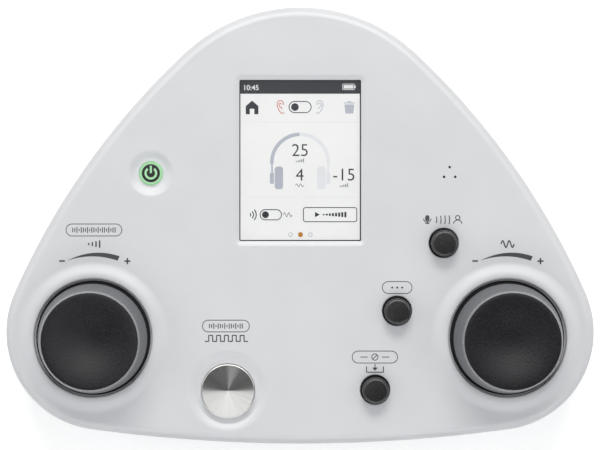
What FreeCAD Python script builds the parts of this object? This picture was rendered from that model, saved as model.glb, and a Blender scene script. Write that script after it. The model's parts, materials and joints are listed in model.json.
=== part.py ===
"""Desktop audiometer: a rounded-triangle console with two rotary dials, a stimulus button and a display.

Frame: millimetres, +X right, +Y to the rear, +Z up, the table at Z = 0 and the middle of the footprint
at X = Y = 0. The panel leans forward by panel_tilt about X. Pieces that follow the panel are placed in
the panel's own frame, whose Z = 0 is the panel's face; the others are placed level, in the base frame.
"""
import FreeCAD, Part
import math
import os
import re
import Sketcher

PANEL, BASE = "panel", "base"

# Driving dimensions: name, value (mm or degrees), meaning.
DIMENSIONS = [
    # housing outline, seen square to the panel: six arcs that run into each other
    ("corner_x", "79", "front corner arcs: centre from the middle"),
    ("corner_y", "-42.5", "front corner arcs: centre from the panel's origin"),
    ("corner_radius", "39.5", "front corner arcs: radius"),
    ("apex_y", "20.5", "rear arc: centre from the panel's origin"),
    ("apex_radius", "68", "rear arc: radius"),
    ("side_radius", "295", "bulge of the two long sides"),
    ("front_radius", "610", "bulge of the front edge"),
    # housing walls and levels
    ("panel_tilt", "7", "lean of the panel, degrees"),
    ("panel_y", "-1.3", "panel's origin, from the middle of the footprint"),
    ("panel_z", "35", "panel's origin, above the table"),
    ("seam_depth", "14", "panel face to the seam between the shells"),
    ("edge_radius", "4", "rounding of the panel's edge"),
    ("wall", "2.5", "wall of both shells"),
    ("lower_draft", "13", "inward lean of the lower shell's sides, degrees"),
    ("foot_gap", "2.5", "table to the underside of the base"),
    ("base_edge", "2", "rounding of the base's lower edge"),
    ("tongue_height", "2", "tongue of the lower shell above the seam"),
    ("tongue_width", "1.2", "tongue: thickness"),
    ("fit", "0.15", "gap around pieces that drop into a seat"),
    ("shaft_fit", "0.03", "gap around shafts, screws and plungers"),
    ("slack", "0.3", "gap above and below pieces that are held loosely"),
    # dials
    ("dial_shift_x", "4.1", "dial axes outside the centres of the corner arcs"),
    ("dial_shift_y", "2", "dial axes in front of the centres of the corner arcs"),
    ("well_radius", "23.5", "well that the dial turns in"),
    ("well_depth", "3", "well floor below the panel"),
    ("collar_height", "1.6", "raised collar around the well"),
    ("collar_round", "1.7", "collar: rounding from the well to its crest"),
    ("collar_slope", "5.3", "collar: from its crest to its foot"),
    ("well_gap", "0.6", "dial: flange inside the well"),
    ("flange_bottom", "1.8", "dial: flange starts this far below the panel"),
    ("flange_drop", "0.6", "dial: flange ends this far below the panel"),
    ("groove_inset", "1.2", "dial: groove inside the flange"),
    ("groove_height", "0.7", "dial: height of the groove"),
    ("grip_inset", "0.8", "dial: foot of the grip inside the flange"),
    ("grip_lean", "2.4", "dial: crown of the grip inside its foot"),
    ("knob_height", "17", "dial: top above the panel"),
    ("crown_bevel", "0.3", "dial: bevel at the crown"),
    ("knob_wall", "1.6", "dial: wall"),
    ("hub_radius", "6", "dial: hub"),
    ("cap_depth", "3.2", "dial cap: depth at its edge"),
    ("cap_dish", "1.8", "dial cap: hollow of its top"),
    ("cap_drop", "0.1", "dial cap: edge below the crown"),
    # rotary encoders
    ("shaft_radius", "3", "encoder shaft"),
    ("shaft_top", "12", "encoder shaft: top above the panel"),
    ("shaft_foot", "10", "encoder shaft: foot below the panel"),
    ("bushing_radius", "3.5", "encoder bushing"),
    ("bushing_top", "1", "bushing: top below the panel"),
    ("encoder_width", "12.4", "encoder housing, across"),
    ("encoder_length", "13.2", "encoder housing, front to rear"),
    ("nut_radius", "5.5", "encoder nut: across its corners"),
    ("nut_height", "1.6", "encoder nut"),
    # display
    ("screen_y", "26.7", "display: middle from the panel's origin"),
    ("screen_width", "48.6", "display: active area, across"),
    ("screen_length", "64.8", "display: active area, front to rear"),
    ("window_margin", "0.2", "window beyond the active area"),
    ("window_bevel", "2.2", "bevel around the window: width"),
    ("window_bevel_depth", "1", "bevel around the window: depth"),
    ("window_lip", "1.5", "panel thickness at the window"),
    ("glass_side", "3.5", "touch panel beyond the active area, at the sides"),
    ("glass_end", "3.9", "touch panel beyond the active area, front and rear"),
    ("glass_thickness", "1.4", "touch panel"),
    ("gasket_thickness", "0.4", "foam gasket"),
    ("lcd_thickness", "2.6", "LCD module"),
    ("lcd_inset", "1", "LCD module: edge inside the touch panel's"),
    ("holder_rim", "0.5", "display holder: edge beyond the touch panel's"),
    ("holder_thickness", "1.5", "display holder: plate"),
    ("holder_leg", "2.5", "display holder: radius of its legs"),
    # stimulus button
    ("stimulus_x", "-29", "stimulus button: axis"),
    ("stimulus_y", "-65.8", "stimulus button: axis"),
    ("stimulus_radius", "10.7", "stimulus button: cap"),
    ("stimulus_rise", "1", "stimulus button: rim above the panel"),
    ("stimulus_hollow", "1.3", "stimulus button: depth of its conical face"),
    ("stimulus_skirt", "5.7", "stimulus button: skirt below the panel"),
    ("stimulus_travel", "1.5", "stimulus button: stroke"),
    ("stimulus_gap", "0.2", "gap around the stimulus button"),
    ("stimulus_stem", "3", "stimulus plunger: stem"),
    ("stimulus_tip", "1.7", "stimulus plunger: tip in the switch"),
    ("guide_wall", "1.2", "stimulus guide: wall and floor"),
    ("dish_radius", "13.2", "dish around it: floor"),
    ("dish_rim", "17.8", "dish around it: rim"),
    ("dish_depth", "1.1", "dish around it: depth"),
    ("spring_radius", "7", "return spring: middle of the wire"),
    ("spring_wire", "0.8", "return spring: wire diameter"),
    ("spring_turns", "4", "return spring: turns"),
    # small buttons
    ("talk_x", "57.6", "talk button: axis"),
    ("talk_y", "-6.4", "talk button: axis"),
    ("function_x", "38.85", "function button: axis"),
    ("function_y", "-33.65", "function button: axis"),
    ("store_x", "30.06", "store button: axis"),
    ("store_y", "-65.3", "store button: axis"),
    ("button_radius", "5.3", "small buttons: cap"),
    ("button_hole", "6", "small buttons: hole in the panel"),
    ("button_rise", "4.5", "small buttons: top above the panel"),
    ("button_dish", "0.35", "small buttons: hollow of the top"),
    ("button_edge", "0.8", "small buttons: rounding of the edge"),
    ("button_flange", "7.2", "small buttons: flange under the panel"),
    ("button_travel", "1.2", "small buttons and power button: stroke"),
    ("flange_thickness", "1.2", "small buttons: flange thickness"),
    ("stem_radius", "2.5", "plungers: stem"),
    ("tip_radius", "1.2", "plungers: tip in the switch"),
    ("switch_width", "6.2", "switch housing, each way"),
    ("switch_height", "3.5", "switch housing"),
    ("tip_rest", "0.7", "plunger tip in the switch at rest"),
    # power button
    ("power_x", "-60", "power button: axis"),
    ("power_y", "21.6", "power button: axis"),
    ("power_radius", "4.6", "power button: lens"),
    ("power_hole", "4.85", "power button: hole"),
    ("power_flange", "6.2", "power button: flange under the panel"),
    ("power_disc_radius", "3.65", "power button: black disc"),
    ("power_disc_thickness", "0.3", "power button: black disc"),
    ("power_drop", "0.7", "power button: lens below the panel"),
    ("bowl_radius", "9", "bowl around it: radius"),
    ("bowl_depth", "1.4", "bowl around it: depth"),
    # microphone
    ("microphone_x", "60", "microphone: axis"),
    ("microphone_y", "21.4", "microphone: axis"),
    ("microphone_radius", "3", "microphone capsule"),
    ("microphone_height", "2.5", "microphone capsule"),
    ("microphone_hole", "0.5", "microphone holes: radius"),
    ("microphone_pitch", "2.6", "microphone holes: distance from the axis"),
    ("boot_wall", "1.2", "microphone boot: wall"),
    # boards
    ("board_depth", "12", "panel board: top below the panel"),
    ("board_thickness", "1.6", "both boards"),
    ("board_margin", "7.5", "panel board: edge inside the outline"),
    ("post_radius", "2.8", "posts that carry the panel board"),
    ("post_reach", "10", "posts: from the edges of the touch panel"),
    ("boss_notch", "1.7", "panel board: gap around the housing screws' bosses"),
    ("small_screw", "1", "board and battery cover screws: radius"),
    ("small_head", "2", "board and battery cover screws: head radius"),
    ("small_head_height", "1.3", "board and battery cover screws: head"),
    ("screw_grip", "5", "thread of the small screws in their boss"),
    ("main_width", "68", "main board, across"),
    ("main_front", "22", "main board: front edge"),
    ("main_rear", "2.5", "main board: rear edge in front of the sockets' wall"),
    ("main_level", "12", "main board: underside above the table"),
    ("main_screw_inset", "3", "main board: screws from its edges"),
    ("screw_boss", "3.2", "bosses of the main board's and battery cover's screws"),
    ("header_width", "22", "ribbon headers, across"),
    ("header_depth", "5", "ribbon headers, front to rear"),
    ("header_height", "2.4", "ribbon headers"),
    ("header_y", "32", "ribbon headers: middle"),
    ("ribbon_width", "20", "ribbon cable, across"),
    ("ribbon_thickness", "0.6", "ribbon cable"),
    # rear sockets
    ("recess_depth", "9.7", "flat that carries the sockets: inside the housing's rear"),
    ("recess_width", "62", "recess around the sockets, across"),
    ("recess_bottom", "11.6", "recess: floor above the table"),
    ("recess_top", "25.6", "recess: roof above the table"),
    ("recess_wall", "2", "walls of the recess"),
    ("socket_pitch", "12", "phone sockets: spacing"),
    ("socket_first", "-24", "phone sockets: first axis"),
    ("socket_height", "5", "phone sockets: axis above the board"),
    ("socket_width", "9", "phone sockets: housing, across"),
    ("socket_length", "12.5", "phone sockets: housing, front to rear"),
    ("barrel_radius", "3", "phone sockets: threaded barrel"),
    ("barrel_length", "2", "phone sockets: barrel beyond the flat"),
    ("plug_radius", "1.8", "phone sockets: bore for a 3.5 mm plug"),
    ("plug_depth", "14", "phone sockets: bore"),
    ("ring_radius", "4.4", "ring nuts"),
    ("ring_height", "1.6", "ring nuts"),
    ("charge_x", "25", "charging socket: axis"),
    ("charge_width", "9", "charging socket: shell, across"),
    ("charge_height", "3.3", "charging socket: shell"),
    ("charge_length", "7.4", "charging socket: shell, front to rear"),
    ("charge_wall", "0.35", "charging socket: shell wall"),
    ("charge_corner", "1.4", "charging socket: rounding of the shell"),
    ("charge_back", "1.2", "charging socket: rear wall"),
    # battery
    ("bay_front", "-40", "battery bay: front"),
    ("bay_rear", "12", "battery bay: rear"),
    ("bay_width", "62", "battery bay, across"),
    ("bay_height", "8.7", "battery bay, above its cover"),
    ("bay_wall", "2", "battery bay: walls"),
    ("battery_gap", "1", "battery pack: gap to the walls of its bay"),
    ("cover_thickness", "2", "battery cover"),
    ("cover_margin", "10", "battery cover: beyond the bay, front and rear"),
    ("cover_ledge", "2.5", "battery cover: ledge that it lies on"),
    ("cover_frame", "3", "battery cover: thick floor beyond it, front and rear"),
    # fasteners and feet
    ("housing_screw", "1.5", "housing screws: radius"),
    ("housing_head", "2.8", "housing screws: head radius"),
    ("housing_head_height", "2", "housing screws: head"),
    ("housing_boss", "3.5", "bosses of the housing screws"),
    ("housing_tunnel", "4.4", "tunnels of the housing screws"),
    ("housing_seat", "3", "seam to the seat of the screw heads"),
    ("housing_thread", "8", "thread of the housing screws in their boss"),
    ("front_screw_x", "-17", "front housing screws: from the centres of the corner arcs"),
    ("front_screw_y", "-33.5", "front housing screws: from the centres of the corner arcs"),
    ("side_screw_x", "13", "side housing screws: from the centres of the corner arcs"),
    ("side_screw_y", "36.5", "side housing screws: from the centres of the corner arcs"),
    ("rear_screw_x", "44", "rear housing screws: from the middle"),
    ("rear_screw_y", "31.5", "rear housing screws: from the centre of the rear arc"),
    ("foot_radius", "6", "rubber feet"),
    ("foot_seat", "0.8", "rubber feet: depth of their seats"),
    ("foot_edge", "0.6", "rubber feet: bevel at the table"),
    ("front_foot_x", "9", "front feet: from the centres of the corner arcs"),
    ("front_foot_y", "-7.5", "front feet: from the centres of the corner arcs"),
    ("rear_foot_x", "24", "rear feet: from the middle"),
    ("rear_foot_y", "41.5", "rear feet: from the centre of the rear arc"),
]

doc = FreeCAD.newDocument("audiometer")
sheet = doc.addObject("Spreadsheet::Sheet", "dims")
for row, (alias, number, meaning) in enumerate(DIMENSIONS, start=1):
    sheet.set(f"A{row}", meaning)
    sheet.set(f"B{row}", number)
    sheet.setAlias(f"B{row}", alias)
doc.recompute()


# ---------------------------------------------------------------- formulas on the sheet

def on_sheet(text):
    """The formula with the sheet's name in front of every dimension; functions stay as they are."""
    return re.sub(r"\b([a-z]\w*)\b(?!\()", r"dims.\1", text)


def value(text):
    """What a formula gives at the sheet's present values."""
    return float(sheet.evalExpression(on_sheet(text)))


def bind(item, path, text):
    """Ties a property of an object to a formula on the sheet."""
    item.setExpression(path, on_sheet(text))


def place(item, frame, x="0", y="0", z="0"):
    """Puts an object at x, y, z of the panel's tilted frame or of the level base frame."""
    if frame == PANEL:
        item.Placement = FreeCAD.Placement(FreeCAD.Vector(), FreeCAD.Rotation(FreeCAD.Vector(1, 0, 0), 1))
        bind(item, "Placement.Rotation.Angle", "panel_tilt")
        bind(item, "Placement.Base.x", x)
        bind(item, "Placement.Base.y", f"panel_y + ({y}) * cos(panel_tilt) - ({z}) * sin(panel_tilt)")
        bind(item, "Placement.Base.z", f"panel_z + ({y}) * sin(panel_tilt) + ({z}) * cos(panel_tilt)")
    else:
        for axis, formula in zip("xyz", (x, y, z)):
            bind(item, f"Placement.Base.{axis}", formula)


# ---------------------------------------------------------------- sketches

def hold_point(sketch, curve, end, x, y):
    """Holds one point of a curve at x, y from the sketch's origin."""
    for kind, formula in (("DistanceX", x), ("DistanceY", y)):
        index = sketch.addConstraint(Sketcher.Constraint(kind, -1, 1, curve, end, value(formula)))
        bind(sketch, f"Constraints[{index}]", formula)


def hold_radius(sketch, curve, radius):
    """Holds the radius of a circle or an arc."""
    index = sketch.addConstraint(Sketcher.Constraint("Radius", curve, value(radius)))
    bind(sketch, f"Constraints[{index}]", radius)


def circle(x, y, radius):
    """A circle."""
    def draw(sketch):
        centre = FreeCAD.Vector(value(x), value(y), 0)
        curve = sketch.addGeometry(Part.Circle(centre, FreeCAD.Vector(0, 0, 1), value(radius)))
        hold_point(sketch, curve, 3, x, y)
        hold_radius(sketch, curve, radius)
    return draw


def chain(corners):
    """A closed chain of lines.

    A corner is (x, y). With a radius and a side, (x, y, radius, side), the way to the next corner is an
    arc whose centre lies to the left (+1) or to the right (-1).
    """
    def draw(sketch):
        ends = []
        for index, corner in enumerate(corners):
            after = corners[(index + 1) % len(corners)]
            start = FreeCAD.Vector(value(corner[0]), value(corner[1]), 0)
            end = FreeCAD.Vector(value(after[0]), value(after[1]), 0)
            if len(corner) == 2:
                curve = sketch.addGeometry(Part.LineSegment(start, end))
                first, last = 1, 2
            else:
                radius, side = value(corner[2]), corner[3]
                chord = end - start
                left = FreeCAD.Vector(-chord.y, chord.x, 0).normalize()
                reach = math.sqrt(max(radius ** 2 - (chord.Length / 2) ** 2, 0))
                centre = (start + end) * 0.5 + left * (reach * side)
                turns = [math.atan2(p.y - centre.y, p.x - centre.x) for p in (start, end)]
                first, last = (1, 2) if side > 0 else (2, 1)
                round_curve = Part.Circle(centre, FreeCAD.Vector(0, 0, 1), radius)
                curve = sketch.addGeometry(Part.ArcOfCircle(round_curve, turns[first - 1], turns[last - 1]))
                hold_radius(sketch, curve, corner[2])
            hold_point(sketch, curve, first, corner[0], corner[1])
            ends.append((curve, first, last))
        for index, (curve, _, last) in enumerate(ends):
            next_curve, next_first, _ = ends[(index + 1) % len(ends)]
            sketch.addConstraint(Sketcher.Constraint("Coincident", curve, last, next_curve, next_first))
    return draw


def rectangle(left, front, right, rear):
    """A rectangle between two corners."""
    return chain([(left, front), (right, front), (right, rear), (left, rear)])


def rounded(left, front, right, rear, radius):
    """A rectangle between two corners, with round corners."""
    return chain([(f"{left} + {radius}", front), (f"{right} - ({radius})", front, radius, 1),
                  (right, f"{front} + {radius}"), (right, f"{rear} - ({radius})", radius, 1),
                  (f"{right} - ({radius})", rear), (f"{left} + {radius}", rear, radius, 1),
                  (left, f"{rear} - ({radius})"), (left, f"{front} + {radius}", radius, 1)])


def arc_meeting(centre_a, reach_a, centre_b, reach_b):
    """The point at reach_a from one centre and reach_b from the other, left of the way from a to b."""
    way = centre_b - centre_a
    span = way.Length
    along = (reach_a ** 2 - reach_b ** 2 + span ** 2) / (2 * span)
    aside = math.sqrt(reach_a ** 2 - along ** 2)
    left = FreeCAD.Vector(-way.y, way.x, 0).normalize()
    return centre_a + way.normalize() * along + left * aside


def outline(inset):
    """The housing's outline, moved inward: two corner arcs, an apex arc, two side arcs and a front arc."""
    def draw(sketch):
        corner = FreeCAD.Vector(value("corner_x"), value("corner_y"), 0)
        apex = FreeCAD.Vector(0, value("apex_y"), 0)
        side = arc_meeting(corner, value("side_radius - corner_radius"),
                           apex, value("side_radius - apex_radius"))
        rise = math.sqrt(value("front_radius - corner_radius") ** 2 - corner.x ** 2)
        front = FreeCAD.Vector(0, corner.y + rise, 0)

        def heading(start, end):
            return math.atan2(end.y - start.y, end.x - start.x)

        bottom_right = heading(front, corner)
        lower_side = heading(side, corner)
        upper_side = heading(side, apex)

        def mirrored(centre):
            return FreeCAD.Vector(-centre.x, centre.y, 0)

        arcs = [
            (corner, "corner_radius", bottom_right, lower_side),
            (side, "side_radius", lower_side, upper_side),
            (apex, "apex_radius", upper_side, math.pi - upper_side),
            (mirrored(side), "side_radius", math.pi - upper_side, math.pi - lower_side),
            (mirrored(corner), "corner_radius", math.pi - lower_side, math.pi - bottom_right),
            (front, "front_radius", math.pi - bottom_right, 2 * math.pi + bottom_right),
        ]
        curves = []
        for centre, radius, start, end in arcs:
            inner = f"{radius} - ({inset})"
            round_curve = Part.Circle(centre, FreeCAD.Vector(0, 0, 1), value(inner))
            curves.append(sketch.addGeometry(Part.ArcOfCircle(round_curve, start, end)))
            hold_radius(sketch, curves[-1], inner)
        hold_point(sketch, curves[0], 3, "corner_x", "corner_y")
        hold_point(sketch, curves[2], 3, "0", "apex_y")
        hold_point(sketch, curves[4], 3, "-corner_x", "corner_y")
        for curve, following in zip(curves, curves[1:] + curves[:1]):
            sketch.addConstraint(Sketcher.Constraint("Tangent", curve, 2, following, 1))
    return draw


# ---------------------------------------------------------------- pieces

class Piece:
    """One sub-part: a PartDesign body whose features are bound to the sheet."""

    def __init__(self, label, frame, x="0", y="0", z="0"):
        self.body = doc.addObject("PartDesign::Body", label)
        self.body.Label = label
        place(self.body, frame, x, y, z)

    def sketch(self, plane, shapes, x="0", y="0", z="0"):
        """A sketch of the shapes on one of the body's planes, moved to x, y, z of the body."""
        item = self.body.newObject("Sketcher::SketchObject", f"{self.body.Name}_sketch")
        role = f"{plane}_Plane"
        support = next(f for f in self.body.Origin.OriginFeatures if f.Role == role)
        item.AttachmentSupport = (support, [""])
        item.MapMode = "FlatFace"
        steps = {"XY": (x, y, z), "XZ": (x, z, f"-({y})"), "YZ": (y, z, x)}[plane]
        for axis, step in zip("xyz", steps):
            bind(item, f"AttachmentOffset.Base.{axis}", step)
        for draw in shapes:
            draw(item)
        return item

    def feature(self, kind, sketch):
        """A feature of the body that is made from a sketch."""
        item = self.body.newObject(f"PartDesign::{kind}", f"{self.body.Name}_{kind.lower()}")
        item.Profile = sketch
        sketch.Visibility = False
        return item

    def pad(self, shapes, bottom, top, plane="XY"):
        """Adds the shapes between two levels of the plane's normal."""
        level = {"XY": "z", "YZ": "x"}[plane]
        item = self.feature("Pad", self.sketch(plane, shapes, **{level: bottom}))
        bind(item, "Length", f"({top}) - ({bottom})")
        return item

    def pocket(self, shapes, bottom, top):
        """Cuts the shapes out between two levels."""
        item = self.feature("Pocket", self.sketch("XY", shapes, z=top))
        bind(item, "Length", f"({top}) - ({bottom})")
        return item

    def turn(self, corners, x="0", y="0", kind="Revolution", plane="XZ"):
        """Turns a profile of (radius, level) corners about an axis at x, y."""
        sketch = self.sketch(plane, [chain(corners)], x=x, y=y)
        item = self.feature(kind, sketch)
        item.ReferenceAxis = (sketch, ["V_Axis"])
        item.Angle = 360
        return item

    def groove(self, corners, x="0", y="0"):
        """Cuts a turned profile out of the piece."""
        return self.turn(corners, x, y, kind="Groove")

    def loft(self, low, low_level, high, high_level, kind="AdditiveLoft"):
        """A straight-sided body between two shapes on two levels."""
        item = self.feature(kind, self.sketch("XY", [low], z=low_level))
        end = self.sketch("XY", [high], z=high_level)
        end.Visibility = False
        item.Sections = [end]
        item.Ruled = True
        return item


def combine(kind, label, items):
    """A Part boolean of several objects."""
    result = doc.addObject(f"Part::{kind}", label)
    result.Label = label
    if kind in ("Cut", "Common"):
        result.Base, result.Tool = items
    elif kind == "Compound":
        result.Links = items
    else:
        result.Shapes = items
    return result


def pairs(x, y):
    """A place and its mirror image left of the middle."""
    return [(x, y), (f"-({x})", y)]


nodes = {}


def keep(item):
    """Marks an object as a sub-part of the finished audiometer."""
    body = item.body if isinstance(item, Piece) else item
    nodes[body.Label] = body
    return item


# Levels of the panel's frame.
SEAM = "-seam_depth"
PANEL_UNDER = "-wall"
WELL_FLOOR = "-well_depth"
WELL_UNDER = "-(well_depth + wall)"
DISH_UNDER = "-(dish_depth + wall)"
BOWL_UNDER = "-(bowl_depth + wall)"
BOARD_TOP = "-board_depth"
BOARD_UNDER = "-(board_depth + board_thickness)"
SWITCH_TOP = "-(board_depth - switch_height)"
SCREW_SEAT = "-(seam_depth + housing_seat)"

# Radii of a dial and its collar, from the well outward and inward.
CREST = "(well_radius + collar_round)"
COLLAR_FOOT = "(well_radius + collar_round + collar_slope)"
FLANGE = "(well_radius - well_gap)"
GROOVE = "(well_radius - well_gap - groove_inset)"
GRIP = "(well_radius - well_gap - grip_inset)"
CROWN = "(well_radius - well_gap - grip_inset - grip_lean)"

# Half sizes of the display window and of the touch panel.
WINDOW_X, WINDOW_Y = "(screen_width / 2 + window_margin)", "(screen_length / 2 + window_margin)"
GLASS_X, GLASS_Y = "(screen_width / 2 + glass_side)", "(screen_length / 2 + glass_end)"

# Levels of the base frame.
FLOOR_TOP = "foot_gap + wall"
COVER_TOP = "foot_gap + cover_thickness"
LEDGE_TOP = "foot_gap + cover_thickness + cover_ledge"
BAY_ROOF = "foot_gap + cover_thickness + bay_height"
MAIN_TOP = "main_level + board_thickness"
SOCKET_AXIS = "main_level + board_thickness + socket_height"
REAR_FACE = "(panel_y + apex_y + apex_radius - recess_depth)"
REAR_INSIDE = f"{REAR_FACE} - recess_wall"

HOUSING_SCREWS = (pairs("corner_x + front_screw_x", "corner_y + front_screw_y")
                  + pairs("corner_x + side_screw_x", "corner_y + side_screw_y")
                  + pairs("rear_screw_x", "apex_y + rear_screw_y"))
BOARD_POSTS = (pairs("screen_width / 2 - post_radius", f"screen_y + {GLASS_Y} + post_reach")
               + pairs(f"{GLASS_X} + post_reach", f"screen_y - {GLASS_Y} / 2")
               + [("0", f"screen_y - {GLASS_Y} - post_reach"),
                  ("0", "corner_y - corner_radius + 2 * post_radius")])
FEET = (pairs("corner_x + front_foot_x", "corner_y + front_foot_y")
        + pairs("rear_foot_x", "apex_y + rear_foot_y"))
MAIN_SCREW_X = "main_width / 2 - main_screw_inset"
MAIN_SCREWS = (pairs(MAIN_SCREW_X, "main_front + main_screw_inset")
               + pairs(MAIN_SCREW_X, f"{REAR_INSIDE} - socket_length - main_screw_inset"))
COVER_SCREWS = [("0", "bay_front - cover_margin / 2"), ("0", "bay_rear + cover_margin / 2")]
DIALS = {"left": "-(corner_x + dial_shift_x)", "right": "corner_x + dial_shift_x"}
DIAL_Y = "corner_y - dial_shift_y"
SMALL_BUTTONS = {
    "talk": ("talk_x", "talk_y"),
    "function": ("function_x", "function_y"),
    "store": ("store_x", "store_y"),
}
PHONE_SOCKETS = ["right_phone", "left_phone", "bone_vibrator", "response"]


# ---------------------------------------------------------------- top shell

def collar_curve(crest, foot, height):
    """Radius of each of two equal arcs that make an S between a crest and its foot."""
    step = f"(({foot}) - ({crest})) / 2"
    return f"(({step}) ^ 2 + (({height}) / 2) ^ 2) / ({height})"


def make_top_shell():
    """Panel with two collared wells, the button dishes, the window and the bosses under it."""
    shell = Piece("top_shell", PANEL)
    slab = shell.pad([outline("0")], SEAM, "0")
    doc.recompute()
    rim = [f"Edge{n}" for n, edge in enumerate(slab.Shape.Edges, start=1)
           if all(abs(vertex.Point.z) < 1e-6 for vertex in edge.Vertexes)]
    rounding = shell.body.newObject("PartDesign::Fillet", "panel_edge")
    rounding.Base = (slab, rim)
    bind(rounding, "Radius", "min(edge_radius; seam_depth - wall)")
    shell.pocket([outline("wall")], SEAM, PANEL_UNDER)

    curve = collar_curve(CREST, COLLAR_FOOT, "collar_height")
    for x in DIALS.values():
        shell.turn([
            ("0", WELL_UNDER), ("well_radius + wall", WELL_UNDER), ("well_radius + wall", "-wall / 2"),
            (COLLAR_FOOT, "-wall / 2"), (COLLAR_FOOT, "0", curve, -1),
            (f"{CREST} + collar_slope / 2", "collar_height / 2", curve, 1), (CREST, "collar_height"),
            ("0", "collar_height")], x, DIAL_Y)
        shell.groove([
            ("0", WELL_FLOOR), ("well_radius", WELL_FLOOR),
            ("well_radius", "collar_height - collar_round", "collar_round", -1),
            (CREST, "collar_height"), (CREST, "collar_height + wall"),
            ("0", "collar_height + wall")], x, DIAL_Y)

    shell.pad([circle("stimulus_x", "stimulus_y", "dish_rim")], DISH_UNDER, "-wall / 2")
    dish_curve = "((dish_rim - dish_radius) ^ 2 + dish_depth ^ 2) / (2 * dish_depth)"
    shell.groove([
        ("0", "-dish_depth"), ("dish_radius", "-dish_depth", dish_curve, 1), ("dish_rim", "0"),
        ("dish_rim", "wall"), ("0", "wall")], "stimulus_x", "stimulus_y")

    shell.pad([circle("power_x", "power_y", "bowl_radius + wall / 2")], BOWL_UNDER, "-wall / 2")
    bowl_curve = "((bowl_radius - power_hole) ^ 2 + bowl_depth ^ 2) / (2 * bowl_depth)"
    shell.groove([
        ("0", "-bowl_depth"), ("power_hole", "-bowl_depth", bowl_curve, 1), ("bowl_radius", "0"),
        ("bowl_radius", "wall"), ("0", "wall")], "power_x", "power_y")

    boot_radius = "microphone_radius + boot_wall + fit"
    shell.pad([circle("microphone_x", "microphone_y", f"{boot_radius} + boot_wall"),
               circle("microphone_x", "microphone_y", boot_radius)],
              "-(wall + microphone_height + boot_wall)", PANEL_UNDER)
    shell.pad([circle(x, y, "housing_boss") for x, y in HOUSING_SCREWS], SEAM, "-wall / 2")
    shell.pad([circle(x, y, "post_radius") for x, y in BOARD_POSTS], BOARD_TOP, "-wall / 2")

    def around_screen(half_x, half_y):
        return rectangle(f"-({half_x})", f"screen_y - ({half_y})", half_x, f"screen_y + {half_y}")

    window = around_screen(WINDOW_X, WINDOW_Y)
    shell.pocket([window], PANEL_UNDER, "wall")
    shell.loft(window, "-window_bevel_depth",
               around_screen(f"{WINDOW_X} + window_bevel", f"{WINDOW_Y} + window_bevel"),
               "0", kind="SubtractiveLoft")
    shell.pocket([around_screen(f"{GLASS_X} + fit", f"{GLASS_Y} + fit")],
                 f"{PANEL_UNDER} - wall", "-window_lip")

    holes = [circle(x, DIAL_Y, "bushing_radius + fit") for x in DIALS.values()]
    holes += [circle(x, y, "button_hole") for x, y in SMALL_BUTTONS.values()]
    holes.append(circle("stimulus_x", "stimulus_y", "stimulus_radius + stimulus_gap"))
    holes.append(circle("power_x", "power_y", "power_hole"))
    for angle in (90, 210, 330):
        holes.append(circle(f"microphone_x + microphone_pitch * cos({angle})",
                            f"microphone_y + microphone_pitch * sin({angle})", "microphone_hole"))
    shell.pocket(holes, "-(well_depth + 2 * wall)", "wall")
    shell.pocket([circle(x, y, "housing_screw + shaft_fit") for x, y in HOUSING_SCREWS],
                 SEAM, "-(seam_depth - housing_thread - slack)")
    shell.pocket([circle(x, y, "small_screw + shaft_fit") for x, y in BOARD_POSTS],
                 BOARD_TOP, "-(board_depth - screw_grip - slack)")
    keep(shell)


# ---------------------------------------------------------------- bottom shell

def draft_inset(depth):
    """How far the lower shell's side has moved inward at a depth below the seam."""
    return f"({depth}) * tan(lower_draft)"


def tapered_block(label, inset, level, rounding=None):
    """The lower shell's outside, or its hollow: drafted sides down to a level above the table."""
    block = Piece(label, PANEL)
    depth = "panel_z + 2 * wall"
    block.loft(outline(f"{inset} + {draft_inset(depth)}"), f"{SEAM} - ({depth})", outline(inset), SEAM)
    reach = "corner_x + corner_radius + wall"

    def cut_level(y):
        return f"(({level}) - panel_z - ({y}) * sin(panel_tilt)) / cos(panel_tilt)"

    low = f"{SEAM} - ({depth}) - wall"
    flat = chain([(f"-({reach})", low), (reach, low), (reach, cut_level(reach)),
                  (f"-({reach})", cut_level(f"-({reach})"))])
    trim = block.feature("Pocket", block.sketch("YZ", [flat], x=f"-({reach})"))
    bind(trim, "Length", f"2 * ({reach})")
    trim.Reversed = True
    if rounding:
        doc.recompute()
        lowest = min(trim.Shape.Faces, key=lambda face: face.CenterOfMass.z)
        rim = [f"Edge{n}" for n, edge in enumerate(trim.Shape.Edges, start=1)
               if any(edge.isSame(other) for other in lowest.Edges)]
        edge_round = block.body.newObject("PartDesign::Fillet", f"{label}_edge")
        edge_round.Base = (trim, rim)
        bind(edge_round, "Radius", rounding)
    return block.body


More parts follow.
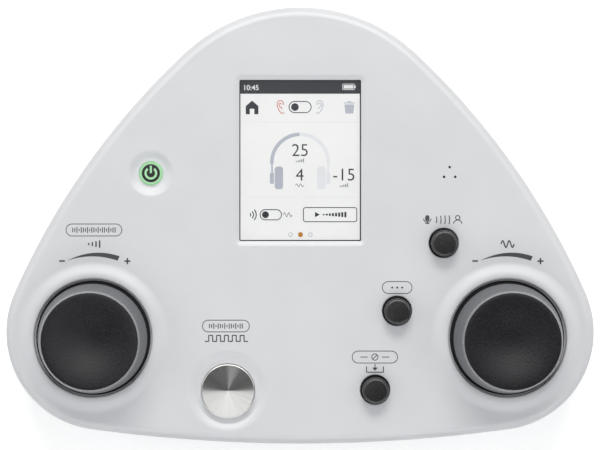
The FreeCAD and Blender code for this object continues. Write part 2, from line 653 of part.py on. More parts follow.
def make_bottom_shell():
    """Tapered lower housing with its tongue, screw tunnels, battery bay and socket recess."""
    outside = tapered_block("base_outside", "0", "foot_gap", "base_edge")
    hollow = tapered_block("base_hollow", "wall / cos(lower_draft)", FLOOR_TOP)
    walls = combine("Cut", "base_walls", [outside, hollow])

    seam_ring = Piece("seam_ring", PANEL)
    inner = "wall + fit + tongue_width"
    seam_ring.pad([outline("wall / 2"), outline(inner)], f"{SEAM} - tongue_height - tongue_width", SEAM)
    seam_ring.pad([outline("wall + fit"), outline(inner)], SEAM, f"{SEAM} + tongue_height")

    tunnels = Piece("screw_tunnels", PANEL)
    for x, y in HOUSING_SCREWS:
        tunnels.pad([circle(x, y, "housing_tunnel")], f"{SEAM} - panel_z", SEAM)

    inside = Piece("inside_bosses", BASE)
    half_bay = "bay_width / 2 + bay_wall"
    inside.pad([rectangle(f"-({half_bay} + cover_ledge)", "bay_front - cover_margin - cover_frame",
                          f"{half_bay} + cover_ledge", "bay_rear + cover_margin + cover_frame")],
               "foot_gap", LEDGE_TOP)
    inside.pad([rectangle(f"-({half_bay})", "bay_front - bay_wall", half_bay, "bay_rear + bay_wall")],
               "foot_gap", f"{BAY_ROOF} + bay_wall")
    inside.pad([circle(x, y, "screw_boss") for x, y in COVER_SCREWS],
               "foot_gap", f"{COVER_TOP} + screw_grip + bay_wall / 2")
    inside.pad([circle(x, y, "screw_boss") for x, y in MAIN_SCREWS], "foot_gap", "main_level")
    half_recess = "recess_width / 2 + recess_wall"
    inside.pad([rectangle(f"-({half_recess})", REAR_INSIDE, half_recess, f"{REAR_FACE} + apex_radius / 2")],
               "recess_bottom - recess_wall", "recess_top + recess_wall")

    added = combine("MultiFuse", "base_additions", [tunnels.body, inside.body])
    added_inside = combine("Common", "base_additions_inside", [added, outside])
    solid = combine("MultiFuse", "base_solid", [walls, added_inside, seam_ring.body])

    bores = Piece("screw_bores", PANEL)
    bores.pad([circle(x, y, "housing_screw + fit") for x, y in HOUSING_SCREWS],
              SCREW_SEAT, f"{SEAM} + tongue_height / 2")
    bores.pad([circle(x, y, "housing_head + 2 * fit") for x, y in HOUSING_SCREWS],
              f"{SEAM} - panel_z - 2 * wall", SCREW_SEAT)

    openings = Piece("base_openings", BASE)
    openings.pad([rectangle("-recess_width / 2", REAR_FACE, "recess_width / 2",
                            f"{REAR_FACE} + apex_radius")], "recess_bottom", "recess_top")
    openings.pad([rectangle("-bay_width / 2", "bay_front", "bay_width / 2", "bay_rear")],
                 "0", BAY_ROOF)
    openings.pad([rectangle("-(bay_width / 2 + cover_ledge)", "bay_front - cover_margin",
                            "bay_width / 2 + cover_ledge", "bay_rear + cover_margin")],
                 "0", COVER_TOP)
    openings.pad([circle(x, y, "foot_radius + fit") for x, y in FEET], "0", "foot_gap + foot_seat")
    openings.pad([circle(x, y, "small_screw + shaft_fit") for x, y in COVER_SCREWS],
                 "0", f"{COVER_TOP} + screw_grip + slack - small_head_height")
    openings.pad([circle(x, y, "small_screw + shaft_fit") for x, y in MAIN_SCREWS],
                 "main_level - screw_grip - slack", "main_level + board_thickness")

    rear_holes = Piece("rear_holes", BASE, y=REAR_INSIDE)
    for number in range(len(PHONE_SOCKETS)):
        across = f"socket_first + {number} * socket_pitch"
        barrel = circle(across, SOCKET_AXIS, "barrel_radius + fit")
        hole = rear_holes.feature("Pad", rear_holes.sketch("XZ", [barrel], y="1.5 * recess_wall"))
        bind(hole, "Length", "2 * recess_wall")
    slot = rectangle("charge_x - charge_width / 2 - fit", f"{MAIN_TOP} - fit / 2",
                     "charge_x + charge_width / 2 + fit", f"{MAIN_TOP} + charge_height + fit")
    slot_cut = rear_holes.feature("Pad", rear_holes.sketch("XZ", [slot], y="1.5 * recess_wall"))
    bind(slot_cut, "Length", "2 * recess_wall")

    cutters = combine("MultiFuse", "base_cutters", [bores.body, openings.body, rear_holes.body])
    keep(combine("Cut", "bottom_shell", [solid, cutters]))


# ---------------------------------------------------------------- dials and encoders

def make_dial(side, x):
    """Knob body, soft cap, encoder shaft and encoder of one dial."""
    crown = "knob_height - crown_bevel"
    slant = f"grip_lean / ({crown} + flange_drop - groove_height)"
    cap_floor = "knob_height - cap_drop - cap_depth"
    cap_radius = f"{CROWN} - 2 * crown_bevel"
    roof = f"{cap_floor} - knob_wall"
    body = Piece(f"{side}_knob_body", PANEL, x, DIAL_Y)
    body.turn([
        (f"{GROOVE} - knob_wall", "-flange_bottom"), (FLANGE, "-flange_bottom"),
        (FLANGE, "-flange_drop"), (GROOVE, "-flange_drop"),
        (GROOVE, "groove_height - flange_drop"), (GRIP, "groove_height - flange_drop"),
        (CROWN, crown), (f"{CROWN} - crown_bevel", "knob_height"),
        (cap_radius, "knob_height"), (cap_radius, cap_floor), ("0", cap_floor),
        ("0", "shaft_top + shaft_fit"), ("shaft_radius + shaft_fit", "shaft_top + shaft_fit"),
        ("shaft_radius + shaft_fit", "-(bushing_top - slack)"), ("hub_radius", "-(bushing_top - slack)"),
        ("hub_radius", roof), (f"{CROWN} + {slant} * ({crown} - ({roof})) - knob_wall", roof),
        (f"{GROOVE} - knob_wall", "groove_height - flange_drop")])
    keep(body)

    cap = Piece(f"{side}_knob_cap", PANEL, x, DIAL_Y)
    cap_edge = f"{cap_radius} - fit"
    cap_curve = f"(({cap_edge}) ^ 2 + cap_dish ^ 2) / (2 * cap_dish)"
    cap.turn([
        ("0", cap_floor), (cap_edge, cap_floor),
        (cap_edge, "knob_height - cap_drop", cap_curve, -1), ("0", "knob_height - cap_drop - cap_dish")])
    keep(cap)

    shaft = Piece(f"{side}_encoder_shaft", PANEL, x, DIAL_Y)
    shaft.turn([("0", "-shaft_foot"), ("shaft_radius", "-shaft_foot"), ("shaft_radius", "shaft_top"),
                ("0", "shaft_top")])
    keep(shaft)

    encoder = Piece(f"{side}_encoder", PANEL, x, DIAL_Y)
    encoder.pad([rectangle("-encoder_width / 2", "-encoder_length / 2",
                           "encoder_width / 2", "encoder_length / 2")], BOARD_TOP, f"{WELL_UNDER} - slack")
    encoder.pad([circle("0", "0", "bushing_radius")], BOARD_TOP, "-bushing_top")
    encoder.pocket([circle("0", "0", "shaft_radius + shaft_fit")], "-(shaft_foot + slack)", "0")
    keep(encoder)

    nut = Piece(f"{side}_encoder_nut", PANEL, x, DIAL_Y)
    corners = [(f"nut_radius * cos({60 * n})", f"nut_radius * sin({60 * n})") for n in range(6)]
    nut.pad([chain(corners), circle("0", "0", "bushing_radius + shaft_fit")],
            WELL_FLOOR, f"{WELL_FLOOR} + nut_height")
    return nut.body


# ---------------------------------------------------------------- buttons

def make_switch(name, x, y, tip="tip_radius"):
    """A switch on the panel board, bored for the plunger's tip."""
    switch = Piece(name, PANEL, x, y)
    half = "switch_width / 2"
    switch.pad([rectangle(f"-{half}", f"-{half}", half, half)], BOARD_TOP, SWITCH_TOP)
    switch.pocket([circle("0", "0", f"{tip} + shaft_fit")], f"{BOARD_TOP} + tip_rest", SWITCH_TOP)
    keep(switch)


def make_plunger(name, x, y, top, travel, stem="stem_radius", tip="tip_radius"):
    """Stem under a button, with the tip that enters the switch."""
    shoulder = f"{SWITCH_TOP} + ({travel}) + slack"
    foot = f"{SWITCH_TOP} - tip_rest"
    plunger = Piece(name, PANEL, x, y)
    plunger.turn([("0", foot), (tip, foot), (tip, shoulder), (stem, shoulder), (stem, top), ("0", top)])
    keep(plunger)


def make_small_button(name, x, y):
    """Black push button with a rounded edge and a slightly hollow top."""
    button = Piece(f"{name}_button", PANEL, x, y)
    flange_under = "-(wall + slack + flange_thickness)"
    dish_radius = "button_radius - button_edge"
    dish_curve = f"(({dish_radius}) ^ 2 + button_dish ^ 2) / (2 * button_dish)"
    button.turn([
        ("0", flange_under), ("button_flange", flange_under), ("button_flange", "-(wall + slack)"),
        ("button_radius", "-(wall + slack)"),
        ("button_radius", "button_rise - button_edge", "button_edge", 1),
        (dish_radius, "button_rise", dish_curve, -1), ("0", "button_rise - button_dish")])
    keep(button)
    make_plunger(f"{name}_plunger", x, y, flange_under, "button_travel")
    make_switch(f"{name}_switch", x, y)


def make_power_button():
    """Lit power button: a green lens with a black disc, on a plunger."""
    place_xy = ("power_x", "power_y")
    flange_top = f"{BOWL_UNDER} - slack"
    flange_under = f"{flange_top} - flange_thickness"
    seat = "-(power_drop + power_disc_thickness)"
    lens = Piece("power_lens", PANEL, *place_xy)
    lens.turn([
        ("0", flange_under), ("power_flange", flange_under), ("power_flange", flange_top),
        ("power_radius", flange_top), ("power_radius", "-power_drop"),
        ("power_disc_radius + fit / 3", "-power_drop"), ("power_disc_radius + fit / 3", seat), ("0", seat)])
    keep(lens)
    disc = Piece("power_disc", PANEL, *place_xy)
    disc.pad([circle("0", "0", "power_disc_radius")], seat, "-power_drop")
    keep(disc)
    make_plunger("power_plunger", *place_xy, flange_under, "button_travel")
    make_switch("power_switch", *place_xy)


def make_stimulus_button():
    """Steel stimulus button with a conical face, its plunger, guide, spring and switch."""
    place_xy = ("stimulus_x", "stimulus_y")
    flange_top = f"{DISH_UNDER} - slack"
    flange_under = "-stimulus_skirt"
    cap_under = "stimulus_rise - stimulus_hollow - wall / 2"
    skirt_inside = "stimulus_radius - wall / 2"
    cap = Piece("stimulus_button", PANEL, *place_xy)
    cap.turn([
        ("0", cap_under), (skirt_inside, cap_under), (skirt_inside, flange_under),
        ("stimulus_radius + wall / 2", flange_under), ("stimulus_radius + wall / 2", flange_top),
        ("stimulus_radius", flange_top), ("stimulus_radius", "stimulus_rise - slack"),
        ("stimulus_radius - slack", "stimulus_rise"), ("stimulus_radius - 3 * slack", "stimulus_rise"),
        ("0", "stimulus_rise - stimulus_hollow")])
    keep(cap)
    make_plunger("stimulus_plunger", *place_xy, cap_under, "stimulus_travel",
                 "stimulus_stem", "stimulus_tip")
    make_switch("stimulus_switch", *place_xy, "stimulus_tip")

    guide_floor = f"{BOARD_TOP} + guide_wall"
    guide_inside = "stimulus_radius + wall / 2 + slack"
    guide = Piece("stimulus_guide", PANEL, *place_xy)
    guide.turn([
        ("switch_width * 0.75", BOARD_TOP), (f"{guide_inside} + guide_wall", BOARD_TOP),
        (f"{guide_inside} + guide_wall", f"{DISH_UNDER} - slack"),
        (guide_inside, f"{DISH_UNDER} - slack"), (guide_inside, guide_floor),
        ("switch_width * 0.75", guide_floor)])
    keep(guide)

    spring = Piece("stimulus_spring", PANEL, *place_xy)
    start = f"{guide_floor} + spring_wire / 2 + shaft_fit"
    end = f"{cap_under} - spring_wire / 2 - shaft_fit"
    wire = circle("spring_radius", start, "spring_wire / 2")
    coil = spring.feature("AdditiveHelix", spring.sketch("XZ", [wire]))
    coil.ReferenceAxis = (coil.Profile[0], ["V_Axis"])
    coil.Mode = "height-turns-angle"
    bind(coil, "Height", f"({end}) - ({start})")
    bind(coil, "Turns", "spring_turns")
    keep(spring)


# ---------------------------------------------------------------- display

def make_display():
    """Gasket, touch panel, LCD module and the holder that presses them into the window."""
    def sheet_of(label, inset, top, thickness, opening=False):
        piece = Piece(label, PANEL, "0", "screen_y")
        half_x, half_y = f"{GLASS_X} - ({inset})", f"{GLASS_Y} - ({inset})"
        shapes = [rectangle(f"-({half_x})", f"-({half_y})", half_x, half_y)]
        if opening:
            shapes.append(rectangle(f"-{WINDOW_X}", f"-{WINDOW_Y}", WINDOW_X, WINDOW_Y))
        piece.pad(shapes, f"{top} - ({thickness})", top)
        keep(piece)
        return piece

    glass_top = "-window_lip - gasket_thickness"
    lcd_top = f"{glass_top} - glass_thickness"
    holder_top = f"{lcd_top} - lcd_thickness"
    sheet_of("display_gasket", "0", "-window_lip", "gasket_thickness", opening=True)
    sheet_of("touch_panel", "0", glass_top, "glass_thickness")
    sheet_of("lcd_module", "lcd_inset", lcd_top, "lcd_thickness")
    holder = sheet_of("display_holder", "-holder_rim", holder_top, "holder_thickness", opening=True)
    legs = [circle(x, y, "holder_leg")
            for half_y in (f"{GLASS_Y} - holder_leg", f"-({GLASS_Y} - holder_leg)")
            for x, y in pairs(f"{GLASS_X} - holder_leg", half_y)]
    holder.pad(legs, BOARD_TOP, f"{holder_top} - holder_thickness / 2")


# ---------------------------------------------------------------- microphone

def make_microphone():
    """Talk-over microphone in its rubber boot, under three small holes."""
    place_xy = ("microphone_x", "microphone_y")
    boot_radius = "microphone_radius + boot_wall"
    capsule_top = "-(wall + boot_wall / 2)"
    boot_under = "-(wall + microphone_height + boot_wall)"
    capsule = Piece("microphone", PANEL, *place_xy)
    capsule.pad([circle("0", "0", "microphone_radius")], f"{capsule_top} - microphone_height", capsule_top)
    keep(capsule)
    boot = Piece("microphone_boot", PANEL, *place_xy)
    boot.turn([
        ("microphone_radius", boot_under), (boot_radius, boot_under), (boot_radius, PANEL_UNDER),
        ("microphone_radius", PANEL_UNDER)])
    keep(boot)


# ---------------------------------------------------------------- boards

def make_screw(name, frame, x, y, seat, length, radius, head, head_height, upward):
    """A screw along Z with its head on the seat and its shank upward (+1) or downward (-1)."""
    screw = Piece(name, frame, x, y, seat)
    tip = length if upward > 0 else f"-({length})"
    crown = f"-({head_height})" if upward > 0 else head_height
    screw.turn([("0", tip), ("0", crown), (head, crown), (head, "0"), (radius, "0"), (radius, tip)])
    return screw.body


def make_panel_board():
    """The large board under the panel, its screws and the header for the ribbon cable."""
    board = Piece("panel_board", PANEL)
    board.pad([outline("board_margin")], BOARD_UNDER, BOARD_TOP)
    board.pocket([circle(x, y, "housing_boss + boss_notch") for x, y in HOUSING_SCREWS],
                 BOARD_UNDER, BOARD_TOP)
    board.pocket([circle(x, y, "small_screw + fit") for x, y in BOARD_POSTS], BOARD_UNDER, BOARD_TOP)
    keep(board)
    screws = [make_screw(f"panel_board_screw_{n}", PANEL, x, y, BOARD_UNDER, "board_thickness + screw_grip",
                         "small_screw", "small_head", "small_head_height", 1)
              for n, (x, y) in enumerate(BOARD_POSTS, start=1)]
    keep(combine("Compound", "panel_board_screws", screws))


def make_main_board():
    """The level board that carries the sockets, and its screws."""
    board = Piece("main_board", BASE)
    board.pad([rectangle("-main_width / 2", "main_front", "main_width / 2", f"{REAR_INSIDE} - main_rear")],
              "main_level", MAIN_TOP)
    board.pocket([circle(x, y, "small_screw + fit") for x, y in MAIN_SCREWS], "main_level", MAIN_TOP)
    keep(board)
    screws = [make_screw(f"main_board_screw_{n}", BASE, x, y, MAIN_TOP, "board_thickness + screw_grip",
                         "small_screw", "small_head", "small_head_height", -1)
              for n, (x, y) in enumerate(MAIN_SCREWS, start=1)]
    keep(combine("Compound", "main_board_screws", screws))


def make_ribbon():
    """Headers on both boards and the folded ribbon cable between them."""
    panel_place = "(header_y - panel_y) / cos(panel_tilt)"
    upper = Piece("panel_header", PANEL, "0", panel_place)
    block = [rectangle("-header_width / 2", "-header_depth / 2", "header_width / 2", "header_depth / 2")]
    upper.pad(block, f"{BOARD_UNDER} - header_height", BOARD_UNDER)
    keep(upper)
    lower = Piece("main_header", BASE, "0", "header_y")
    lower.pad(block, MAIN_TOP, f"{MAIN_TOP} + header_height")
    keep(lower)

    # The upper header's lower face, in the level frame: its middle leans back with the panel.
    drop = "(board_depth + board_thickness + header_height)"
    top_y = f"header_y + {drop} * sin(panel_tilt)"
    top_z = f"panel_z + (header_y - panel_y) * tan(panel_tilt) - {drop} * cos(panel_tilt)"
    low_z = f"{MAIN_TOP} + header_height"
    bend = "header_depth * 1.6"
    half = "header_depth / 2"
    ribbon = Piece("ribbon_cable", BASE)
    fold = [
        (f"header_y - {half}", low_z), (f"header_y + {bend} + ribbon_thickness", low_z),
        (f"header_y + {bend} + ribbon_thickness", f"{top_z} - slack"),
        (f"{top_y} - {half}", f"{top_z} - slack - {half} * sin(panel_tilt)"),
        (f"{top_y} - {half}", f"{top_z} - slack - ribbon_thickness - {half} * sin(panel_tilt)"),
        (f"header_y + {bend}", f"{top_z} - slack - ribbon_thickness"),
        (f"header_y + {bend}", f"{low_z} + ribbon_thickness"),
        (f"header_y - {half}", f"{low_z} + ribbon_thickness")]
    ribbon.pad([chain(fold)], "-ribbon_width / 2", "ribbon_width / 2", plane="YZ")
    keep(ribbon)


# ---------------------------------------------------------------- rear sockets

def make_phone_socket(name, number):
    """A 3.5 mm socket: housing on the main board, barrel through the wall, bore for the plug."""
    across = f"socket_first + {number} * socket_pitch"
    socket = Piece(f"{name}_socket", BASE, across, REAR_INSIDE, MAIN_TOP)
    socket.pad([rectangle("-socket_width / 2", "-socket_length", "socket_width / 2", "0")],
               "0", "2 * socket_height")
    end = "recess_wall + barrel_length"
    outside = circle("0", "socket_height", "barrel_radius")
    barrel = socket.feature("Pad", socket.sketch("XZ", [outside], y=end))
    bind(barrel, "Length", f"{end} + recess_wall / 2")
    inside = circle("0", "socket_height", "plug_radius")
    bore = socket.feature("Pocket", socket.sketch("XZ", [inside], y=end))
    bind(bore, "Length", "plug_depth")
    bore.Reversed = True
    keep(socket)

    nut = Piece(f"{name}_nut", BASE, across, REAR_FACE, SOCKET_AXIS)
    ring = [circle("0", "0", "ring_radius"), circle("0", "0", "barrel_radius + shaft_fit")]
    face = nut.feature("Pad", nut.sketch("XZ", ring, y="ring_height"))
    bind(face, "Length", "ring_height")
    return nut.body


def make_charging_socket():
    """USB-C socket: a thin shell with a tongue in it."""
    socket = Piece("usb_socket", BASE, "charge_x", f"{REAR_FACE} - shaft_fit", MAIN_TOP)

    def slot(inset):
        half = f"charge_width / 2 - {inset}"
        return rounded(f"-({half})", inset, half, f"charge_height - {inset}", f"charge_corner - {inset}")

    shell = socket.feature("Pad", socket.sketch("XZ", [slot("0")]))
    bind(shell, "Length", "charge_length")
    hollow = socket.feature("Pocket", socket.sketch("XZ", [slot("charge_wall")]))
    bind(hollow, "Length", "charge_length - charge_back")
    tongue = rectangle("-(charge_width / 2 - charge_corner)", "charge_height / 2 - charge_wall",
                       "charge_width / 2 - charge_corner", "charge_height / 2 + charge_wall")
    blade = socket.feature("Pad", socket.sketch("XZ", [tongue], y="-charge_back / 2"))
    bind(blade, "Length", "charge_length - charge_back")
    keep(socket)


# ---------------------------------------------------------------- battery, feet and housing screws

def make_battery():
    """Battery pack, the cover under it and the cover's two screws."""
    pack = Piece("battery_pack", BASE)
    pack.pad([rectangle("-(bay_width / 2 - battery_gap)", "bay_front + battery_gap",
                        "bay_width / 2 - battery_gap", "bay_rear - battery_gap")],
             f"{COVER_TOP} + shaft_fit", f"{BAY_ROOF} - slack")
    keep(pack)
    cover = Piece("battery_cover", BASE)
    cover.pad([rectangle("-(bay_width / 2 + cover_ledge - fit)", "bay_front - cover_margin + fit",
                         "bay_width / 2 + cover_ledge - fit", "bay_rear + cover_margin - fit")],
              "foot_gap", COVER_TOP)
    cover.pocket([circle(x, y, "small_screw + fit") for x, y in COVER_SCREWS], "foot_gap", COVER_TOP)
    cover.pocket([circle(x, y, "small_head + fit") for x, y in COVER_SCREWS],
                 "foot_gap", "foot_gap + small_head_height")
    keep(cover)
    screws = [make_screw(f"battery_cover_screw_{n}", BASE, x, y, "foot_gap + small_head_height",
                         "cover_thickness + screw_grip - 2 * small_head_height",
                         "small_screw", "small_head", "small_head_height", 1)
              for n, (x, y) in enumerate(COVER_SCREWS, start=1)]
    keep(combine("Compound", "battery_cover_screws", screws))


def make_feet():
    """Four rubber feet in seats under the base."""
    feet = []
    for number, (x, y) in enumerate(FEET, start=1):
        foot = Piece(f"foot_{number}", BASE, x, y)
        foot.turn([("0", "0"), ("foot_radius - foot_edge", "0"), ("foot_radius", "foot_edge"),
                   ("foot_radius", "foot_gap + foot_seat"), ("0", "foot_gap + foot_seat")])
        feet.append(foot.body)
    keep(combine("Compound", "rubber_feet", feet))


def make_housing_screws():
    """Six screws from below, square to the panel, that hold the shells together."""
    screws = [make_screw(f"housing_screw_{n}", PANEL, x, y, SCREW_SEAT, "housing_seat + housing_thread",
                         "housing_screw", "housing_head", "housing_head_height", 1)
              for n, (x, y) in enumerate(HOUSING_SCREWS, start=1)]
    keep(combine("Compound", "housing_screws", screws))


# ---------------------------------------------------------------- build, check and write

make_top_shell()
make_bottom_shell()
keep(combine("Compound", "encoder_nuts", [make_dial(side, x) for side, x in DIALS.items()]))
for button, (button_x, button_y) in SMALL_BUTTONS.items():
    make_small_button(button, button_x, button_y)
make_power_button()
make_stimulus_button()
make_display()
make_microphone()
make_panel_board()
make_main_board()
make_ribbon()
keep(combine("Compound", "socket_nuts",
             [make_phone_socket(name, n) for n, name in enumerate(PHONE_SOCKETS)]))
make_charging_socket()
make_battery()
make_feet()
make_housing_screws()
doc.recompute()

faults = [item.Label for item in doc.Objects if {"Invalid", "Error"} & set(item.State)]
faults += [label for label, item in nodes.items() if item.Shape.isNull() or not item.Shape.isValid()]
if faults:
    raise RuntimeError("these did not build: " + ", ".join(faults))

os.makedirs("parts", exist_ok=True)
for label, item in nodes.items():
    item.Shape.exportStep(f"parts/{label}.step")
print(len(nodes), "sub-parts,", sum(len(item.Shape.Solids) for item in nodes.values()), "solids")
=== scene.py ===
"""Desktop audiometer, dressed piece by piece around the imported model.

Sizes are millimetres on the tilted panel: X to the right, Y to the rear, Z out of its face. on_panel turns
them into metres of the model's own frame. Each section is one piece or one group of like pieces, in the
order in which the audiometer is put together.
"""
import json
import math

import bmesh
import bpy
import numpy as np
from mathutils.geometry import delaunay_2d_cdt
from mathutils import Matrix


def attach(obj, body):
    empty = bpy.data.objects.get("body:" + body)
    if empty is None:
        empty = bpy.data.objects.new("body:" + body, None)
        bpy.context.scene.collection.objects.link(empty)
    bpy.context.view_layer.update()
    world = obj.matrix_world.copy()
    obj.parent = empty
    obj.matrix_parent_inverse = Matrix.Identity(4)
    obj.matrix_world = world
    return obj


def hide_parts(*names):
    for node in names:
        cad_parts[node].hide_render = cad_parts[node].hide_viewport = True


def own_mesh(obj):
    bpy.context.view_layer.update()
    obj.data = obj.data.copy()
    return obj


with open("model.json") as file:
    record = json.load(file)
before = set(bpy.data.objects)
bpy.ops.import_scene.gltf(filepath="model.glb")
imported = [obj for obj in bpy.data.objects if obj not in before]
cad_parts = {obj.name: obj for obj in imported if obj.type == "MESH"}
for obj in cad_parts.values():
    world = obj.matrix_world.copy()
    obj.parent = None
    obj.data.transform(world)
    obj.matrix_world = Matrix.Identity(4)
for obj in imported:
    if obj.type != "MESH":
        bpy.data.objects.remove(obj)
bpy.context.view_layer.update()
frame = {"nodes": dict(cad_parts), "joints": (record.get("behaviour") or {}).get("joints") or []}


# ------------ top shell
# Upper half of the housing: one matt white ABS moulding, 2.5 mm thick. Its edge is well rounded, a collar
# rises around the well of each dial, and a fine lip in the well narrows the gap around the dial's flange.
# Dishes, holes and a bevelled window take the other controls, and bosses and posts under it take screws.

TILT = math.atan2(-frame["joints"][0]["axis"][1], frame["joints"][0]["axis"][2])
PANEL_ORIGIN = (0.0, -1.3, 35.0)
CORNER, CORNER_RADIUS = np.array([79.0, -42.5]), 39.5
APEX, APEX_RADIUS = np.array([0.0, 20.5]), 68.0
SIDE_RADIUS, FRONT_RADIUS = 295.0, 610.0
EDGE_RADIUS, WALL, SEAM = 4.0, 2.5, -14.0
DIAL_X, DIAL_Y, WELL_RADIUS, LIP_RADIUS, WELL_FLOOR = 83.1, -44.5, 23.5, 23.0, -3.0
CREST, CREST_HEIGHT, COLLAR_FOOT = 24.6, 1.5, 30.8
STIMULUS, STIMULUS_HOLE = (-29.0, -65.8), 10.9
DISH_FLOOR, DISH_RIM, DISH_DEPTH, DISH_UNDER = 13.2, 16.6, 1.1, -3.6
POWER, POWER_HOLE = (-60.0, 21.6), 4.85
BOWL_FLOOR, BOWL_RIM, BOWL_BASE, BOWL_LEVEL, BOWL_UNDER = 5.6, 9.5, 10.25, -1.4, -3.9
MICROPHONE = (60.0, 21.4)
SMALL_BUTTONS = {"talk": (57.6, -6.4), "function": (38.85, -33.65), "store": (30.06, -65.3)}
BUTTON_HOLE = 6.0
SCREEN_Y, WINDOW, WINDOW_CORNER, WINDOW_UNDER = 26.7, (24.45, 32.4), 0.6, -1.5
GLASS = (27.8, 36.3)
HOUSING_SCREWS = [(62, -76), (92, -6), (44, 52)]
BOARD_POSTS = [(21.5, 73.0), (37.8, 8.55)]
MIDDLE_POSTS = [(0.0, -19.6), (0.0, -76.4)]
SHELL_WHITE = (215, 216, 219)
# A wall that meets a flat face has a margin of it, which keeps the shading of the face even.
MARGIN = 0.04


def on_panel(points):
    """Panel millimetres to metres of the frame: a turn by the tilt about X, then the panel's origin."""
    x, y, z = np.asarray(points, float).T
    cosine, sine = math.cos(TILT), math.sin(TILT)
    turned = np.column_stack([x, y * cosine - z * sine, y * sine + z * cosine])
    return (turned + np.array(PANEL_ORIGIN)) / 1000


def directions(angle):
    """Unit vectors at some angles: cosine and sine side by side."""
    return np.column_stack([np.cos(angle), np.sin(angle)])


def circle_path(x, y, count=96, radius=0.0):
    """Path around an axis, which is every centre. Where the radius is nought, an offset is a radius."""
    heading = directions(np.linspace(0, 2 * np.pi, count, endpoint=False))
    return np.tile((float(x), float(y)), (count, 1)), np.full(count, radius), heading


def frame_path(half_x, half_y, corner, x=0.0, y=0.0, steps=9):
    """Path around a rectangle: four quarter turns of the corner's radius about the corners' centres."""
    angle = np.concatenate([np.linspace(0, np.pi / 2, steps) + turn * np.pi / 2 for turn in range(4)])
    signs = np.repeat([[1, 1], [-1, 1], [-1, -1], [1, -1]], steps, axis=0)
    centre = np.array([x, y]) + signs * np.array([half_x - corner, half_y - corner])
    return centre, np.full(4 * steps, float(corner)), directions(angle)


def housing_path(step=1.6):
    """Path around the housing: two corner arcs, a rear arc, two side arcs and a front arc, each tangent to
    the next. So the centre of a side arc is its own radius less its neighbour's away from the centre of
    either neighbour."""
    way = APEX - CORNER
    span = np.hypot(*way)
    reach_corner, reach_apex = SIDE_RADIUS - CORNER_RADIUS, SIDE_RADIUS - APEX_RADIUS
    along = (reach_corner ** 2 - reach_apex ** 2 + span ** 2) / (2 * span)
    aside = math.sqrt(reach_corner ** 2 - along ** 2)
    side = CORNER + way / span * along + np.array([-way[1], way[0]]) / span * aside
    front = np.array([0, CORNER[1] + math.sqrt((FRONT_RADIUS - CORNER_RADIUS) ** 2 - CORNER[0] ** 2)])

    def heading(start, end):
        return math.atan2(end[1] - start[1], end[0] - start[0])

    low, middle, high = heading(front, CORNER), heading(side, CORNER), heading(side, APEX)
    mirror = np.array([-1, 1])
    arcs = [
        (CORNER, CORNER_RADIUS, low, middle), (side, SIDE_RADIUS, middle, high),
        (APEX, APEX_RADIUS, high, np.pi - high), (side * mirror, SIDE_RADIUS, np.pi - high, np.pi - middle),
        (CORNER * mirror, CORNER_RADIUS, np.pi - middle, np.pi - low),
        (front, FRONT_RADIUS, np.pi - low, 2 * np.pi + low),
    ]
    centres, radii, headings = [], [], []
    for centre, radius, start, end in arcs:
        count = round(radius * (end - start) / step)
        angle = np.linspace(start, end, count, endpoint=False)
        centres.append(np.tile(centre, (count, 1)))
        radii.append(np.full(count, radius))
        headings.append(directions(angle))
    return np.vstack(centres), np.concatenate(radii), np.vstack(headings)


def loop(path, offset):
    """Points of a path moved out by an offset: centre plus radius and offset along the heading."""
    centre, radius, heading = path
    return centre + (radius + offset)[:, None] * heading


def woven(rows, columns):
    """Quads between the points of a grid whose last column meets its first."""
    index = np.arange(rows * columns).reshape(rows, columns)
    following = np.roll(index, -1, axis=1)
    return np.stack([index[:-1], following[:-1], following[1:], index[1:]], axis=-1).reshape(-1, 4)


def carried(path, profile):
    """Surface of a profile of (offset, level) rows carried around a path, whose end meets its start."""
    profile = np.asarray(profile, float)
    rows, columns = len(profile), len(path[1])
    plan = np.stack([loop(path, offset) for offset in profile[:, 0]])
    levels = np.broadcast_to(profile[:, 1, None, None], (rows, columns, 1))
    return np.concatenate([plan, levels], axis=2).reshape(-1, 3), woven(rows, columns)


def rims(paths, wall, row=0):
    """Loops in which a wall around each path meets a flat face, in the first or last row of its profile."""
    return [loop(path, wall[row][0]) for path in paths]


def softened(corners, steps=6):
    """Profile with its corners rounded: corner P becomes (1-t)^2 A + 2t(1-t) P + t^2 B, where A and B lie
    the corner's rounding before and after it on the two sides."""
    corners = np.array(corners, float)
    point, rounding = corners[:, None, :2], corners[:, None, 2:]

    def towards(other):
        way = other - point
        return way / np.maximum(np.linalg.norm(way, axis=2, keepdims=True), 1e-9)

    before = point + rounding * towards(np.roll(point, 1, axis=0))
    after = point + rounding * towards(np.roll(point, -1, axis=0))
    t = np.linspace(0, 1, steps)[None, :, None]
    return ((1 - t) ** 2 * before + 2 * t * (1 - t) * point + t ** 2 * after).reshape(-1, 2)


def swell(start, end, steps=12):
    """Profile that leaves and arrives level: the height eases by half a cosine wave between two ends."""
    t = np.linspace(0, 1, steps)
    ease = (1 - np.cos(np.pi * t)) / 2
    return np.column_stack([start[0] + (end[0] - start[0]) * t, start[1] + (end[1] - start[1]) * ease])


def stem(radius, end, hole, bottom):
    """Profile of a round stem that hangs from the shell, with a blind hole in its end."""
    return [(radius + MARGIN, -WALL), (radius, -WALL), (radius, end), (hole, end), (hole, bottom),
            (0, bottom)]


